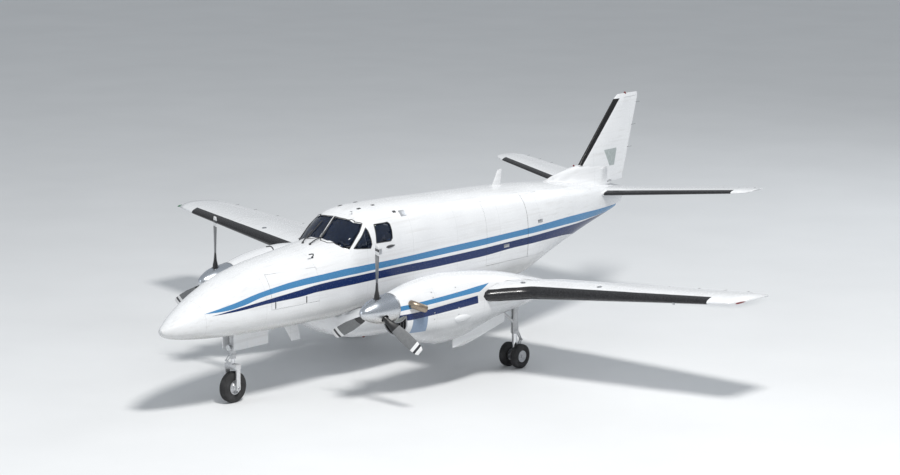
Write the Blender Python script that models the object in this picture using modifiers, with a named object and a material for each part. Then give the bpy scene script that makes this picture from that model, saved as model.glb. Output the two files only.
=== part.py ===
"""Twin-engine turboprop cargo airliner, parked on its landing gear.

Frame: +X forward, +Y to the left wing, +Z up, origin on the ground under the middle
of the airframe. Lengths are in metres. Stations (st) are distances behind the nose
tip and water lines (wl) are heights above the nose tip, as on a real airframe.
"""
import bpy
import bmesh
import math
import numpy as np
from mathutils import Matrix, Vector

# Driving dimensions
LENGTH = 13.58
NOSE_X = LENGTH / 2
NOSE_WL = 1.55              # height of the nose tip above the ground
GAP = 0.0003                # clearance between pieces that touch on the real airframe
RUN = 0.006                 # clearance around pieces that move
SKIN = 0.05                 # wall of the cabin, doors included
FLOOR = 0.10                # cabin floor
COCKPIT_FLOOR = 0.13        # one step up from the cabin
BULKHEAD = 5.35             # where the step is
ENGINE_Y = 2.0
PROP_ST, PROP_WL, PROP_R = 3.33, 0.15, 1.18
SPAN_TIP = 6.99

NOSE_END, CABIN_END, TAIL_END = 3.70, 9.90, 13.0

NOSE_GEAR_ST, NOSE_WHEEL_R, NOSE_TYRE_W = 1.75, 0.28, 0.165
MAIN_GEAR_ST, MAIN_GEAR_Y, MAIN_WHEEL_R, MAIN_TYRE_W = 7.22, 1.98, 0.2285, 0.14
MAIN_TWIN = 0.135           # from the leg to the middle of each tyre

# Fuselage: station, bottom, top, half width, top exponent, bottom exponent
FUSELAGE = [
    (0.00, -0.045, 0.045, 0.050, 2.0, 2.0),
    (0.04, -0.085, 0.085, 0.100, 2.0, 2.0),
    (0.15, -0.130, 0.150, 0.175, 2.0, 2.1),
    (0.35, -0.175, 0.270, 0.285, 2.0, 2.2),
    (0.65, -0.215, 0.425, 0.395, 2.1, 2.4),
    (1.05, -0.250, 0.600, 0.500, 2.1, 2.6),
    (1.55, -0.280, 0.770, 0.590, 2.2, 2.8),
    (2.20, -0.300, 0.900, 0.665, 2.3, 2.9),
    (3.00, -0.315, 0.990, 0.720, 2.4, 3.0),
    (3.60, -0.325, 1.050, 0.745, 2.5, 3.0),
    (4.00, -0.330, 1.100, 0.755, 2.6, 3.0),
    (4.20, -0.330, 1.280, 0.760, 2.7, 3.0),
    (4.42, -0.330, 1.465, 0.760, 2.8, 3.0),
    (4.65, -0.330, 1.555, 0.760, 2.8, 3.0),
    (5.00, -0.335, 1.585, 0.760, 2.8, 3.0),
    (5.80, -0.340, 1.570, 0.760, 2.8, 3.0),
    (7.00, -0.345, 1.520, 0.760, 2.8, 3.0),
    (8.30, -0.350, 1.465, 0.760, 2.8, 3.0),
    (9.20, -0.345, 1.420, 0.750, 2.8, 3.0),
    (9.60, -0.255, 1.395, 0.720, 2.7, 2.8),
    (10.06, -0.115, 1.360, 0.670, 2.6, 2.6),
    (10.80, 0.080, 1.280, 0.560, 2.4, 2.4),
    (11.50, 0.245, 1.180, 0.430, 2.3, 2.3),
    (12.20, 0.390, 1.070, 0.290, 2.2, 2.2),
    (12.70, 0.500, 0.980, 0.180, 2.2, 2.2),
    (13.00, 0.570, 0.880, 0.080, 2.0, 2.0),
]

# Wing: span station, leading edge st, leading edge wl, chord, thickness, incidence
WING = [
    (0.00, 5.70, -0.120, 2.75, 0.135, 4.8),
    (0.76, 5.70, -0.050, 2.75, 0.135, 4.8),
    (2.45, 5.72, 0.090, 2.72, 0.135, 4.3),
    (2.95, 6.32, 0.120, 2.12, 0.165, 4.0),
    (4.90, 6.74, 0.250, 1.62, 0.145, 2.0),
    (6.60, 7.12, 0.360, 1.19, 0.125, 0.2),
    (6.90, 7.21, 0.382, 1.08, 0.110, 0.0),
    (SPAN_TIP, 7.40, 0.388, 0.78, 0.050, 0.0),
]
WING_JOINT = 2.95
FLAP_HINGE, AILERON_HINGE = 0.775, 0.76
FLAP_IN = (0.80, 1.70)
FLAP_OUT = (2.34, 3.95)
AILERON = (4.00, 6.55)

TAILPLANE = [
    (0.00, 11.97, 0.885, 1.22, 0.11, 0.0),
    (0.30, 12.02, 0.900, 1.18, 0.11, 0.0),
    (3.05, 12.82, 1.160, 0.76, 0.10, 0.0),
    (3.20, 12.95, 1.172, 0.60, 0.05, 0.0),
]
ELEVATOR_HINGE = 0.60
ELEVATOR = (0.36, 3.00)

# Fin: water line, leading edge st, chord, thickness
FIN = [
    (1.10, 11.28, 1.80, 0.10),
    (1.50, 11.62, 1.60, 0.10),
    (2.74, 12.76, 0.80, 0.09),
    (2.82, 12.88, 0.66, 0.05),
]
RUDDER = (1.07, 2.74)
RUDDER_HINGE_ST = (12.70, 13.08)   # at the bottom and the top of the rudder

# Nacelle: station, bottom, top, half width
NACELLE = [
    (3.66, -0.300, 0.395, 0.268),
    (3.77, -0.365, 0.425, 0.300),
    (3.90, -0.420, 0.455, 0.340),
    (4.30, -0.560, 0.525, 0.400),
    (4.70, -0.665, 0.560, 0.435),
    (5.05, -0.700, 0.565, 0.452),
    (5.40, -0.675, 0.540, 0.462),
    (5.80, -0.585, 0.500, 0.465),
    (6.30, -0.460, 0.430, 0.455),
    (6.90, -0.390, 0.310, 0.415),
    (7.50, -0.310, 0.150, 0.325),
    (8.10, -0.235, -0.010, 0.180),
    (8.46, -0.165, -0.105, 0.050),
]
FIREWALL = 5.06
# Exhaust stub, out through the side of the nacelle and back: st, y from the shaft, wl
STUB = [(4.06, 0.10, 0.18), (3.98, 0.19, 0.20), (3.915, 0.28, 0.22), (3.90, 0.36, 0.22),
        (3.945, 0.42, 0.195), (4.015, 0.455, 0.165), (4.09, 0.475, 0.135)]
STUB_R = 0.07
WELL = (5.12, 7.50, 0.24, -0.03)           # st from, st to, half width, wl of its roof
COWL_R = 0.275          # round cowl behind the spinner, above the chin inlet
LIP_ST = 3.82           # the chin inlet's mouth
GEAR_DOOR = [(5.16, -0.440), (6.62, -0.360), (6.62, -0.540), (6.20, -0.640), (5.80, -0.735),
             (5.45, -0.795), (5.16, -0.800)]

AIRSTAIR = (9.118, 9.70, FLOOR + 0.004, 1.28)       # st from, st to, wl from, wl to
CARGO_DOOR = (7.86, 9.119, FLOOR + 0.004, 1.33)
NOSE_DOOR = (2.10, 3.24, 0.16, 0.76)
JACK = (6.85, 2.65, -0.125)                # jack pads under the wing


def clean():
    for ob in list(bpy.data.objects):
        bpy.data.objects.remove(ob, do_unlink=True)


clean()
PARTS = bpy.data.collections.new("turboprop_airliner")
CUTTERS = bpy.data.collections.new("cutters")
bpy.context.scene.collection.children.link(PARTS)
bpy.context.scene.collection.children.link(CUTTERS)

# Finish of each kind of piece: colour, roughness, metallic, alpha
FINISHES = {
    "white_paint": ((0.86, 0.87, 0.88), 0.22, 0.0, 1.0),
    "glass": ((0.10, 0.16, 0.22), 0.05, 0.0, 0.4),
    "chrome": ((0.66, 0.67, 0.69), 0.12, 1.0, 1.0),
    "engine": ((0.45, 0.46, 0.48), 0.45, 0.9, 1.0),
    "blade": ((0.05, 0.05, 0.055), 0.40, 0.0, 1.0),
    "tyre": ((0.03, 0.03, 0.03), 0.85, 0.0, 1.0),
    "hub": ((0.75, 0.76, 0.77), 0.40, 0.6, 1.0),
    "seat": ((0.12, 0.15, 0.22), 0.90, 0.0, 1.0),
    "panel": ((0.08, 0.08, 0.085), 0.75, 0.0, 1.0),
    "exhaust": ((0.48, 0.38, 0.28), 0.38, 0.9, 1.0),
    "gear": ((0.72, 0.73, 0.74), 0.35, 0.1, 1.0),
}


def material(name, kind):
    color, roughness, metallic, alpha = FINISHES[kind]
    mat = bpy.data.materials.new(name)
    mat.use_nodes = True
    bsdf = mat.node_tree.nodes["Principled BSDF"]
    bsdf.inputs["Base Color"].default_value = (*color, 1)
    bsdf.inputs["Roughness"].default_value = roughness
    bsdf.inputs["Metallic"].default_value = metallic
    bsdf.inputs["Alpha"].default_value = alpha
    return mat


def finish(name, bm, kind=None, origin=None):
    """Turn a bmesh into an object. Without a kind it is a cutter."""
    bmesh.ops.recalc_face_normals(bm, faces=bm.faces)
    if origin is not None:
        bmesh.ops.translate(bm, verts=bm.verts, vec=[-c for c in origin])
    mesh = bpy.data.meshes.new(name)
    bm.to_mesh(mesh)
    bm.free()
    return add_object(name, mesh, kind, origin)


def add_object(name, mesh, kind=None, origin=None):
    """Add a mesh to the parts, or to the cutters, with its origin where it turns."""
    ob = bpy.data.objects.new(name, mesh)
    if origin is not None:
        ob.location = origin
    if kind:
        mesh.materials.append(material(name, kind))
        if mesh.polygons:
            mesh.shade_smooth()
            mesh.set_sharp_from_angle(angle=math.radians(32))
        PARTS.objects.link(ob)
    else:
        ob.hide_render = True
        ob.display_type = "WIRE"
        CUTTERS.objects.link(ob)
    return ob


def boolean(ob, cutter, operation="DIFFERENCE"):
    mod = ob.modifiers.new(cutter.name, "BOOLEAN")
    mod.operation = operation
    mod.solver = "EXACT"
    mod.object = cutter
    return ob


def at(st, y, wl):
    return (NOSE_X - st, y, NOSE_WL + wl)


def spline(table, column, value):
    """Monotone cubic through one column of a table, against its first column."""
    xs = [row[0] for row in table]
    ys = [row[column] for row in table]
    if value <= xs[0]:
        return ys[0]
    if value >= xs[-1]:
        return ys[-1]
    steps = [(ys[i + 1] - ys[i]) / (xs[i + 1] - xs[i]) for i in range(len(xs) - 1)]
    slopes = [steps[0]]
    for a, b in zip(steps, steps[1:]):
        slopes.append(0.0 if a * b <= 0 else 2 * a * b / (a + b))
    slopes.append(steps[-1])
    i = max(k for k in range(len(xs) - 1) if xs[k] <= value)
    h = xs[i + 1] - xs[i]
    t = (value - xs[i]) / h
    return (ys[i] * (1 + 2 * t) * (1 - t) ** 2 + slopes[i] * h * t * (1 - t) ** 2
            + ys[i + 1] * t * t * (3 - 2 * t) + slopes[i + 1] * h * t * t * (t - 1))


def line(table, column, value):
    return float(np.interp(value, [row[0] for row in table], [row[column] for row in table]))


def loft(bm, rings):
    """Skin a list of equal rings and close both ends."""
    loops = [[bm.verts.new(p) for p in ring] for ring in rings]
    for a, b in zip(loops, loops[1:]):
        for i in range(len(a)):
            j = (i + 1) % len(a)
            bm.faces.new((a[i], a[j], b[j]))
            bm.faces.new((a[i], b[j], b[i]))
    bm.faces.new(list(reversed(loops[0])))
    bm.faces.new(loops[-1])


def loft_object(name, rings, kind=None, origin=None):
    bm = bmesh.new()
    loft(bm, rings)
    return finish(name, bm, kind, origin)


def box(name, low, high, kind=None):
    """A box between two (st, y, wl) corners."""
    a, b = Vector(at(*low)), Vector(at(*high))
    size = [abs(c) for c in b - a]
    bm = bmesh.new()
    bmesh.ops.create_cube(bm, size=1.0, matrix=Matrix.Translation((a + b) / 2)
                          @ Matrix.Diagonal((*size, 1)))
    return finish(name, bm, kind)


def from_curve(name, curve, matrix, kind=None):
    """Turn a curve into a closed mesh and put it in place."""
    maker = bpy.data.objects.new(name, curve)
    mesh = bpy.data.meshes.new_from_object(maker)
    bpy.data.objects.remove(maker)
    bm = bmesh.new()
    bm.from_mesh(mesh)
    bpy.data.meshes.remove(mesh)
    bmesh.ops.remove_doubles(bm, verts=bm.verts, dist=0.00001)
    bmesh.ops.transform(bm, matrix=matrix, verts=bm.verts)
    return finish(name, bm, kind)


def prism(name, outline, axis, low, high, kind=None):
    """Extrude a (st, wl) outline along Y, or a (y, wl) outline along X."""
    curve = bpy.data.curves.new(name, "CURVE")
    curve.dimensions = "2D"
    curve.fill_mode = "BOTH"
    curve.extrude = abs(high - low) / 2
    edge = curve.splines.new("POLY")
    edge.points.add(len(outline) - 1)
    for point, (a, b) in zip(edge.points, outline):
        point.co = (a, b, 0, 1)
    edge.use_cyclic_u = True
    middle = (low + high) / 2
    if axis == "Y":
        matrix = Matrix(((-1, 0, 0, NOSE_X), (0, 0, 1, middle), (0, 1, 0, NOSE_WL), (0, 0, 0, 1)))
    else:
        matrix = Matrix(((0, 0, 1, NOSE_X - middle), (1, 0, 0, 0), (0, 1, 0, NOSE_WL), (0, 0, 0, 1)))
    return from_curve(name, curve, matrix, kind)


def turned(name, profile, centre, axis="X", kind=None, count=20):
    """Turn a (radius, along) outline about an axis through centre."""
    area = sum(p[0] * q[1] - q[0] * p[1] for p, q in zip(profile, profile[1:] + profile[:1]))
    if area > 0:
        profile = profile[::-1]
    start = next((k for k in range(len(profile)) if profile[k - 1][0] == profile[k][0] == 0), 0)
    profile = profile[start:] + profile[:start]
    whole = profile[0][0] > 0 or profile[-1][0] > 0
    spots = {"X": lambda r, s: (s, r, 0), "Y": lambda r, s: (0, s, r), "Z": lambda r, s: (r, 0, s)}
    mesh = bpy.data.meshes.new(name)
    edges = [(k, k + 1) for k in range(len(profile) - 1)]
    if whole:
        edges.append((len(profile) - 1, 0))
    mesh.from_pydata([spots[axis](r, s) for r, s in profile], edges, [])
    ob = add_object(name, mesh, kind, centre)
    turn = ob.modifiers.new("turn", "SCREW")
    turn.axis = axis
    turn.steps = turn.render_steps = count
    turn.use_merge_vertices = True
    turn.merge_threshold = 0.00001
    turn.use_smooth_shade = True
    return ob


def rod(r, low, high):
    return [(0, low), (r, low), (r, high), (0, high)]


def bore(r, count):
    """Radius of a faceted hole that a faceted shaft of radius r can turn in."""
    return r / math.cos(math.pi / count) + GAP


def bar(name, first, last, radius, kind=None, count=14):
    """A straight round bar between two points."""
    first, last = Vector(first), Vector(last)
    along = last - first
    turn = along.to_track_quat("Z", "Y").to_matrix().to_4x4()
    bm = bmesh.new()
    bmesh.ops.create_cone(bm, cap_ends=True, segments=count, radius1=radius, radius2=radius,
                          depth=along.length,
                          matrix=Matrix.Translation((first + last) / 2) @ turn)
    return finish(name, bm, kind)


def tube(name, points, radius, kind=None):
    """A bent round bar: a curve with a round bevel and filled caps."""
    curve = bpy.data.curves.new(name, "CURVE")
    curve.dimensions = "3D"
    curve.bevel_depth = radius
    curve.bevel_resolution = 3
    curve.use_fill_caps = True
    path = curve.splines.new("POLY")
    path.points.add(len(points) - 1)
    for point, spot in zip(path.points, points):
        point.co = (*spot, 1)
    return from_curve(name, curve, Matrix.Identity(4), kind)


def frames(most=1.3):
    """Stations of the cross sections that every fuselage surface shares."""
    marks = sorted([row[0] for row in FUSELAGE] + [NOSE_END, CABIN_END])
    out = []
    for a, b in zip(marks, marks[1:]):
        steps = max(1, math.ceil((b - a) / most))
        out += [a + (b - a) * k / steps for k in range(steps)]
    return out + [marks[-1]]


FRAMES = frames()


def fuselage_ring(st, inset=0.0, floor=None, count=32):
    """A cross section: straight between two frames, so all surfaces lie on each other."""
    after = next((k for k, mark in enumerate(FRAMES) if mark >= st - 1e-9), len(FRAMES) - 1)
    before = max(0, after - 1)
    a, b = FRAMES[before], FRAMES[after]
    t = min(1.0, max(0.0, (st - a) / (b - a))) if b > a else 0.0
    ring = []
    for p, q in zip(frame_ring(a, inset, count), frame_ring(b, inset, count)):
        y, z = p[0] + (q[0] - p[0]) * t, p[1] + (q[1] - p[1]) * t
        ring.append(at(st, y, z if floor is None else max(z, floor)))
    return ring


def frame_ring(st, inset, count):
    """Cross section at a frame, drawn in by inset, as (y, wl) points."""
    low, high, half, n_top, n_low = (spline(FUSELAGE, c, st) for c in range(1, 6))
    middle = low + 0.46 * (high - low)
    half, low, high = half - inset, low + inset, high - inset
    ring = []
    for k in range(count):
        a = 2 * math.pi * (k + 0.5) / count
        c, s = math.cos(a), math.sin(a)
        n = n_top if s > 0 else n_low
        y = half * math.copysign(abs(c) ** (2 / n), c)
        reach = high - middle if s > 0 else middle - low
        ring.append((y, middle + reach * math.copysign(abs(s) ** (2 / n), s)))
    return ring


def side_at(st, wl, inset=0.0):
    """Half width of the fuselage at a station and a height."""
    low, high, half, n_top, n_low = (spline(FUSELAGE, c, st) for c in range(1, 6))
    middle = low + 0.46 * (high - low)
    n = n_top if wl > middle else n_low
    reach = high - middle if wl > middle else middle - low
    return (half - inset) * (1 - min(1.0, abs(wl - middle) / (reach - inset)) ** n) ** (1 / n)


def stations(first, last):
    return [first] + [mark for mark in FRAMES if first + 0.001 < mark < last - 0.001] + [last]


def airfoil(thick, count=11, edge=0.003):
    """Loop of (aft, up) points for unit chord, from the trailing edge over the top."""
    def half(x):
        return 5 * thick * (0.2969 * math.sqrt(x) - 0.126 * x - 0.3516 * x * x
                            + 0.2843 * x ** 3 - 0.1036 * x ** 4) + edge / 2 * x

    def camber(x):
        return 0.018 * (1 - ((x - 0.3) / (0.3 if x < 0.3 else 0.7)) ** 2)
    xs = [(1 - math.cos(math.pi * k / count)) / 2 for k in range(count + 1)]
    top = [(x, camber(x) + half(x)) for x in reversed(xs)]
    return top + [(x, camber(x) - half(x)) for x in xs[1:]]


def wing_frame(table, y):
    """Leading edge, chord, unit vectors aft and up, and thickness at a span station."""
    le = (line(table, 1, y), line(table, 2, y))
    chord, thick, tilt = (line(table, c, y) for c in (3, 4, 5))
    a = math.radians(tilt)
    return le, chord, thick, (math.cos(a), -math.sin(a)), (math.sin(a), math.cos(a))


def wing_point(table, y, aft, up, side=1):
    le, chord, thick, back, lift = wing_frame(table, abs(y))
    return at(le[0] + aft * back[0] + up * lift[0], side * y, le[1] + aft * back[1] + up * lift[1])


def wing_rings(table, marks, side, grow=0.0, count=11):
    rings = []
    for y in marks:
        chord, thick = line(table, 3, abs(y)), line(table, 4, abs(y))
        ring = []
        for x, z in airfoil(thick, count):
            out = grow if z > 0 else -grow
            ring.append(wing_point(table, y, x * (chord + 2 * grow) - grow, z * chord + out, side))
        rings.append(ring)
    return rings


def hinge_spot(table, y, fraction, side=1):
    """Hinge point and half thickness of a flying surface at a chord fraction."""
    chord, thick = line(table, 3, y), line(table, 4, y)
    shape = airfoil(thick, 24)
    top = sorted(p for p in shape[:25])
    low = sorted(p for p in shape[24:])
    up = float(np.interp(fraction, [p[0] for p in top], [p[1] for p in top]))
    down = float(np.interp(fraction, [p[0] for p in low], [p[1] for p in low]))
    return wing_point(table, y, fraction * chord, (up + down) / 2 * chord, side), (up - down) / 2 * chord


def hinge_ends(table, spans, fractions, side):
    ends = [hinge_spot(table, y, f, side) for y, f in zip(spans, fractions)]
    return np.array(ends[0][0]), np.array(ends[1][0]), ends[0][1], ends[1][1]


def control_rings(points, chords, radii, back, normal, gap=None):
    """Round-nosed wedge behind a hinge line, or the cove that it turns in."""
    rings = []
    for p, chord, r in zip(points, chords, radii):
        if gap is None:
            nose = [(-r * math.cos(a), r * math.sin(a))
                    for a in np.linspace(-math.pi / 2 + 0.08, math.pi / 2 - 0.08, 9)]
            loop = [(chord, -0.003)] + nose + [(chord, 0.003)]
        else:
            reach = r + gap
            nose = [(-reach * math.cos(a), reach * math.sin(a))
                    for a in np.linspace(-1.25, 1.25, 9)]
            first, last = nose[0], nose[-1]
            loop = ([(chord + 0.3, -0.4), (first[0], -0.4)] + nose
                    + [(last[0], 0.4), (chord + 0.3, 0.4)])
        rings.append([tuple(p + u * back + w * normal) for u, w in loop])
    return rings


HINGES = {}
PIN_R, PIN_REACH = 0.008, 0.020


def hinge_pin(ob, owner, name, p0, p1):
    """A pin right through a control surface, held in bores in its neighbours."""
    d = (p1 - p0) / np.linalg.norm(p1 - p0)
    boolean(ob, bar(f"add_pin_{name}", p0 - d * PIN_REACH, p1 + d * PIN_REACH, PIN_R, None, 12),
            "UNION")
    d = d * (PIN_REACH + GAP)
    boolean(owner, bar(f"cut_pin_{name}", p0 - d, p1 + d, bore(PIN_R, 12), None, 12))


def control(name, owner, table, spans, fractions, side, slim=0.95):
    """A control surface, cut out of its owner, turning about its hinge line."""
    ends = None
    for extra in (0.0, RUN):
        lo, hi = spans[0] - extra, spans[1] + extra
        slope = (fractions[1] - fractions[0]) / (spans[1] - spans[0])
        fr = (fractions[0] - slope * extra, fractions[1] + slope * extra)
        p0, p1, r0, r1 = hinge_ends(table, (lo, hi), fr, side)
        chords = [line(table, 3, y) * (1 - f) for y, f in zip((lo, hi), fr)]
        _, _, _, aft, _ = wing_frame(table, (lo + hi) / 2)
        across = np.array((0.0, *(p1 - p0)[1:])) * side
        back = np.array((-aft[0], 0, aft[1]))
        normal = np.cross(back, across)
        normal = normal / np.linalg.norm(normal)
        back = np.cross(across, normal) / np.linalg.norm(across)
        gap = None if extra == 0 else RUN
        rings = control_rings((p0, p1), chords, (r0 * slim, r1 * slim), back, normal, gap)
        if extra == 0:
            middle = tuple((p0 + p1) / 2)
            ob = loft_object(name, rings, "white_paint", middle)
            axis = (p1 - p0) / np.linalg.norm(p1 - p0)
            HINGES[name] = (middle, tuple(axis))
            ends = (p0, p1)
        else:
            cutter = loft_object("cut_" + name, rings)
    boolean(owner, cutter)
    hinge_pin(ob, owner, name, *ends)
    return ob


# Fuselage shells
nose = loft_object("fuselage_nose", [fuselage_ring(s) for s in stations(0.0, NOSE_END - GAP)],
                   "white_paint")
cabin = loft_object("fuselage_cabin", [fuselage_ring(s) for s in stations(NOSE_END, CABIN_END)],
                    "white_paint")
tail = loft_object("fuselage_tail", [fuselage_ring(s) for s in
                                     stations(CABIN_END + GAP, TAIL_END)], "white_paint")
space = [fuselage_ring(s, SKIN, COCKPIT_FLOOR) for s in stations(NOSE_END + 0.12, BULKHEAD)]
space += [fuselage_ring(s, SKIN, FLOOR) for s in stations(BULKHEAD + 0.02, CABIN_END - 0.12)]
boolean(cabin, loft_object("cut_cabin_space", space))

# Cockpit glazing, as (name, outline, axis, low, high) for the left side
WINDOWS = [
    ("windshield", [(0.018, 1.09), (0.38, 1.04), (0.66, 0.945), (0.66, 1.30), (0.555, 1.342),
                    (0.36, 1.408), (0.018, 1.428)], "X", 3.80, 4.70),
    ("quarter_window", [(4.565, 1.272), (4.195, 0.953), (4.570, 0.920), (4.610, 0.98),
                        (4.612, 1.06), (4.590, 1.22)], "Y", 0.42, 0.95),
    ("side_window", [(4.785, 1.305), (5.150, 1.305), (5.190, 1.27), (5.195, 1.16), (5.175, 1.02),
                     (5.125, 0.978), (4.735, 0.990)], "Y", 0.42, 0.95),
]


# Side view of the windshield: it ends at the slanted post
POST = [(3.60, 0.80), (3.946, 0.80), (4.825, 1.60), (3.60, 1.60)]


def shrink(outline, by):
    """Draw an outline's corners in, towards its middle."""
    c = np.mean(np.array(outline), axis=0)
    out = []
    for p in outline:
        d = np.array(p) - c
        out.append(tuple(c + d * (1 - by / np.linalg.norm(d))))
    return out


for side, word in ((1, "left"), (-1, "right")):
    for base, outline, axis, low, high in WINDOWS:
        if axis == "X":
            shape = [(side * y, z) for y, z in outline]
            small = [(side * y, z) for y, z in shrink(outline, 0.001)]
            span = (low, high)
        else:
            shape, small = outline, shrink(outline, 0.001)
            span = (side * low, side * high)
        hole = prism(f"cut_{base}_{word}", shape, axis, *span)
        keep = prism(f"keep_{base}_{word}", small, axis, *span)
        if axis == "X":
            boolean(hole, prism(f"keep_post_{word}", POST, "Y", 0, side * 0.9), "INTERSECT")
            edge = [(st - 0.001, wl) for st, wl in POST]
            boolean(keep, prism(f"keep_edge_{word}", edge, "Y", 0, side * 0.9), "INTERSECT")
        boolean(cabin, hole)
        reach = stations(3.82, 5.30)
        pane = loft_object(f"{base}_{word}", [fuselage_ring(s, 0.008) for s in reach], "glass")
        core = loft_object(f"cut_{base}_{word}_back",
                           [fuselage_ring(s, 0.016) for s in [3.7] + reach + [5.4]])
        boolean(pane, core)
        boolean(pane, keep, "INTERSECT")


def skin_at(st, wl):
    """Half width of the faceted skin itself at a station and a height."""
    ring = [(point[1], point[2] - NOSE_WL) for point in fuselage_ring(st)]
    for (y0, z0), (y1, z1) in zip(ring, ring[1:] + ring[:1]):
        if y0 > 0 and y1 > 0 and min(z0, z1) <= wl <= max(z0, z1):
            return y0 + (y1 - y0) * (wl - z0) / (z1 - z0)


def hinge_line(first, last, wl):
    """Straight line that the curved skin just touches, and the span where it is close."""
    marks = np.linspace(first, last, 60)
    skin = np.array([skin_at(st, wl) for st in marks])
    chord = np.interp(marks, [first, last], [skin[0], skin[-1]])
    straight = chord + max(skin - chord) - 0.001
    close = [st for st, y, out in zip(marks, skin, straight) if out - y < 0.0035]
    return [(st, float(np.interp(st, marks, straight))) for st in (close[0], close[-1])]


def door_hinge(name, spec):
    """Height of a door's hinge, and its line as two (station, half width) spots."""
    first, last, low, high = spec
    edge = low + RUN if name == "airstair_door" else high - RUN
    return edge, hinge_line(first + 2 * RUN, last - 2 * RUN, edge)


def lean(cutter, spots, edges):
    """Slant a cutter's end faces square to a hinge line, so that the leaf swings clear."""
    (st0, y0), (st1, y1) = spots
    slope = (y1 - y0) / (st1 - st0)
    for vertex in cutter.data.vertices:
        st = NOSE_X - vertex.co.x
        if any(abs(st - edge) < 2 * RUN for edge in edges):
            vertex.co.x += slope * (abs(vertex.co.y) - y0 - slope * (st - st0))
    return cutter


def hinge_bar(owner, name, spots, wl, side):
    """Fixed half of a hinge: a bar on the skin just above the door's own barrel."""
    st = (spots[0][0] + spots[1][0]) / 2
    tangent = np.array((skin_at(st, wl + RUN) - skin_at(st, wl), RUN))
    dy, dz = tangent / np.linalg.norm(tangent) * 2 * RUN
    boolean(owner, bar(f"add_hinge_bar_{name}", *[at(a, side * (y + dy), wl + dz) for a, y in spots],
                       RUN, None, 10), "UNION")


def door(name, spec, side, owner, leaning=()):
    """A door of the wall's own curve, set in its opening with room to move."""
    first, last, low, high = spec
    edge, spots = door_hinge(name, spec)
    ends = [np.array(at(st, side * y, edge)) for st, y in spots]
    middle = tuple((ends[0] + ends[1]) / 2)
    HINGES[name] = (middle, tuple(ends[1] - ends[0]))
    leaf = loft_object(name, [fuselage_ring(s) for s in stations(first - 0.1, last + 0.1)],
                       "white_paint", middle)
    boolean(leaf, loft_object(f"cut_{name}_back",
                              [fuselage_ring(s, SKIN) for s in stations(first - 0.2, last + 0.2)]))
    keep = box(f"keep_{name}", (first + RUN, side * 0.30, low + RUN),
               (last - RUN, side * 0.95, high - RUN))
    boolean(leaf, lean(keep, spots, leaning), "INTERSECT")
    if edge > low + RUN:
        hinge_bar(owner, name, spots, edge, side)
    return boolean(leaf, bar(f"add_hinge_{name}", *ends, RUN - GAP, None, 10), "UNION")


# One opening for both rear doors, which close against each other
first, middle, last, sill = CARGO_DOOR[0], CARGO_DOOR[1], AIRSTAIR[1], AIRSTAIR[2]
outline = [(first, sill), (last, sill), (last, AIRSTAIR[3]), (middle, AIRSTAIR[3]),
           (middle, CARGO_DOOR[3]), (first, CARGO_DOOR[3])]
opening = prism("cut_rear_doors", outline, "Y", 0.30, 0.95)
boolean(cabin, lean(opening, door_hinge("airstair_door", AIRSTAIR)[1], [last]))
door("airstair_door", AIRSTAIR, 1, cabin, [last])
door("cargo_door", CARGO_DOOR, 1, cabin)

# Nose baggage bay, its two doors and the nose wheel well
boolean(nose, loft_object("cut_baggage_bay", [fuselage_ring(s, SKIN, NOSE_DOOR[2]) for s in
                                              stations(NOSE_DOOR[0] - 0.1, NOSE_DOOR[1] + 0.1)]))
boolean(nose, box("cut_nose_well", (1.60, -0.15, -0.6), (3.10, 0.15, 0.08)))
for side, word in ((1, "left"), (-1, "right")):
    first, last, low, high = NOSE_DOOR
    name = "nose_baggage_door_" + word
    opening = box(f"cut_nose_door_{word}", (first, side * 0.30, low), (last, side * 0.95, high))
    boolean(nose, lean(opening, door_hinge(name, NOSE_DOOR)[1], [first, last]))
    door(name, NOSE_DOOR, side, nose, [first, last])

# Wing
marks = [row[0] for row in WING]
center_marks = [-WING_JOINT, -2.45, -0.76, 0, 0.76, 2.45, WING_JOINT]
wing_center = loft_object("wing_center", wing_rings(WING, center_marks, 1), "white_paint")
center_tool = loft_object("cut_wing_center", wing_rings(WING, center_marks, 1, 2 * GAP))
boolean(cabin, center_tool)
wings = {}
for side, word in ((1, "left"), (-1, "right")):
    spans = [WING_JOINT + GAP] + [y for y in marks if y > WING_JOINT]
    wings[word] = loft_object(f"wing_{word}", wing_rings(WING, spans, side), "white_paint")
    control(f"flap_inner_{word}", wing_center, WING, FLAP_IN, (FLAP_HINGE,) * 2, side)
    outer = (FLAP_OUT[0], WING_JOINT - RUN)
    control(f"flap_outer_{word}", wings[word], WING, (WING_JOINT + 0.03, FLAP_OUT[1]),
            (FLAP_HINGE,) * 2, side)
    control(f"aileron_{word}", wings[word], WING, AILERON, (AILERON_HINGE,) * 2, side)

    st, y, wl = JACK
    boolean(wing_center, turned(f"add_jack_pad_{word}", rod(0.035, wl, wl + 0.1),
                                       at(st, side * y, 0), "Z"), "UNION")

def chin(yc, radius, wall):
    """Chin inlet: an arc about the shaft, and the nacelle's own outline less a wall."""
    low, high, half = (spline(NACELLE, c, LIP_ST) for c in (1, 2, 3))
    mid = (low + high) / 2
    arc, lip = [], []
    for k in range(13):
        a = math.radians(-25 - 130 * k / 12)
        c, s = math.cos(a), -math.sin(a)
        arc.append((yc + radius * c, PROP_WL - radius * s))
        lip.append((yc + (half - wall) * math.copysign(abs(c) ** 0.93, c),
                    mid - (mid - low - wall) * s ** 0.93))
    return arc, lip


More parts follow.
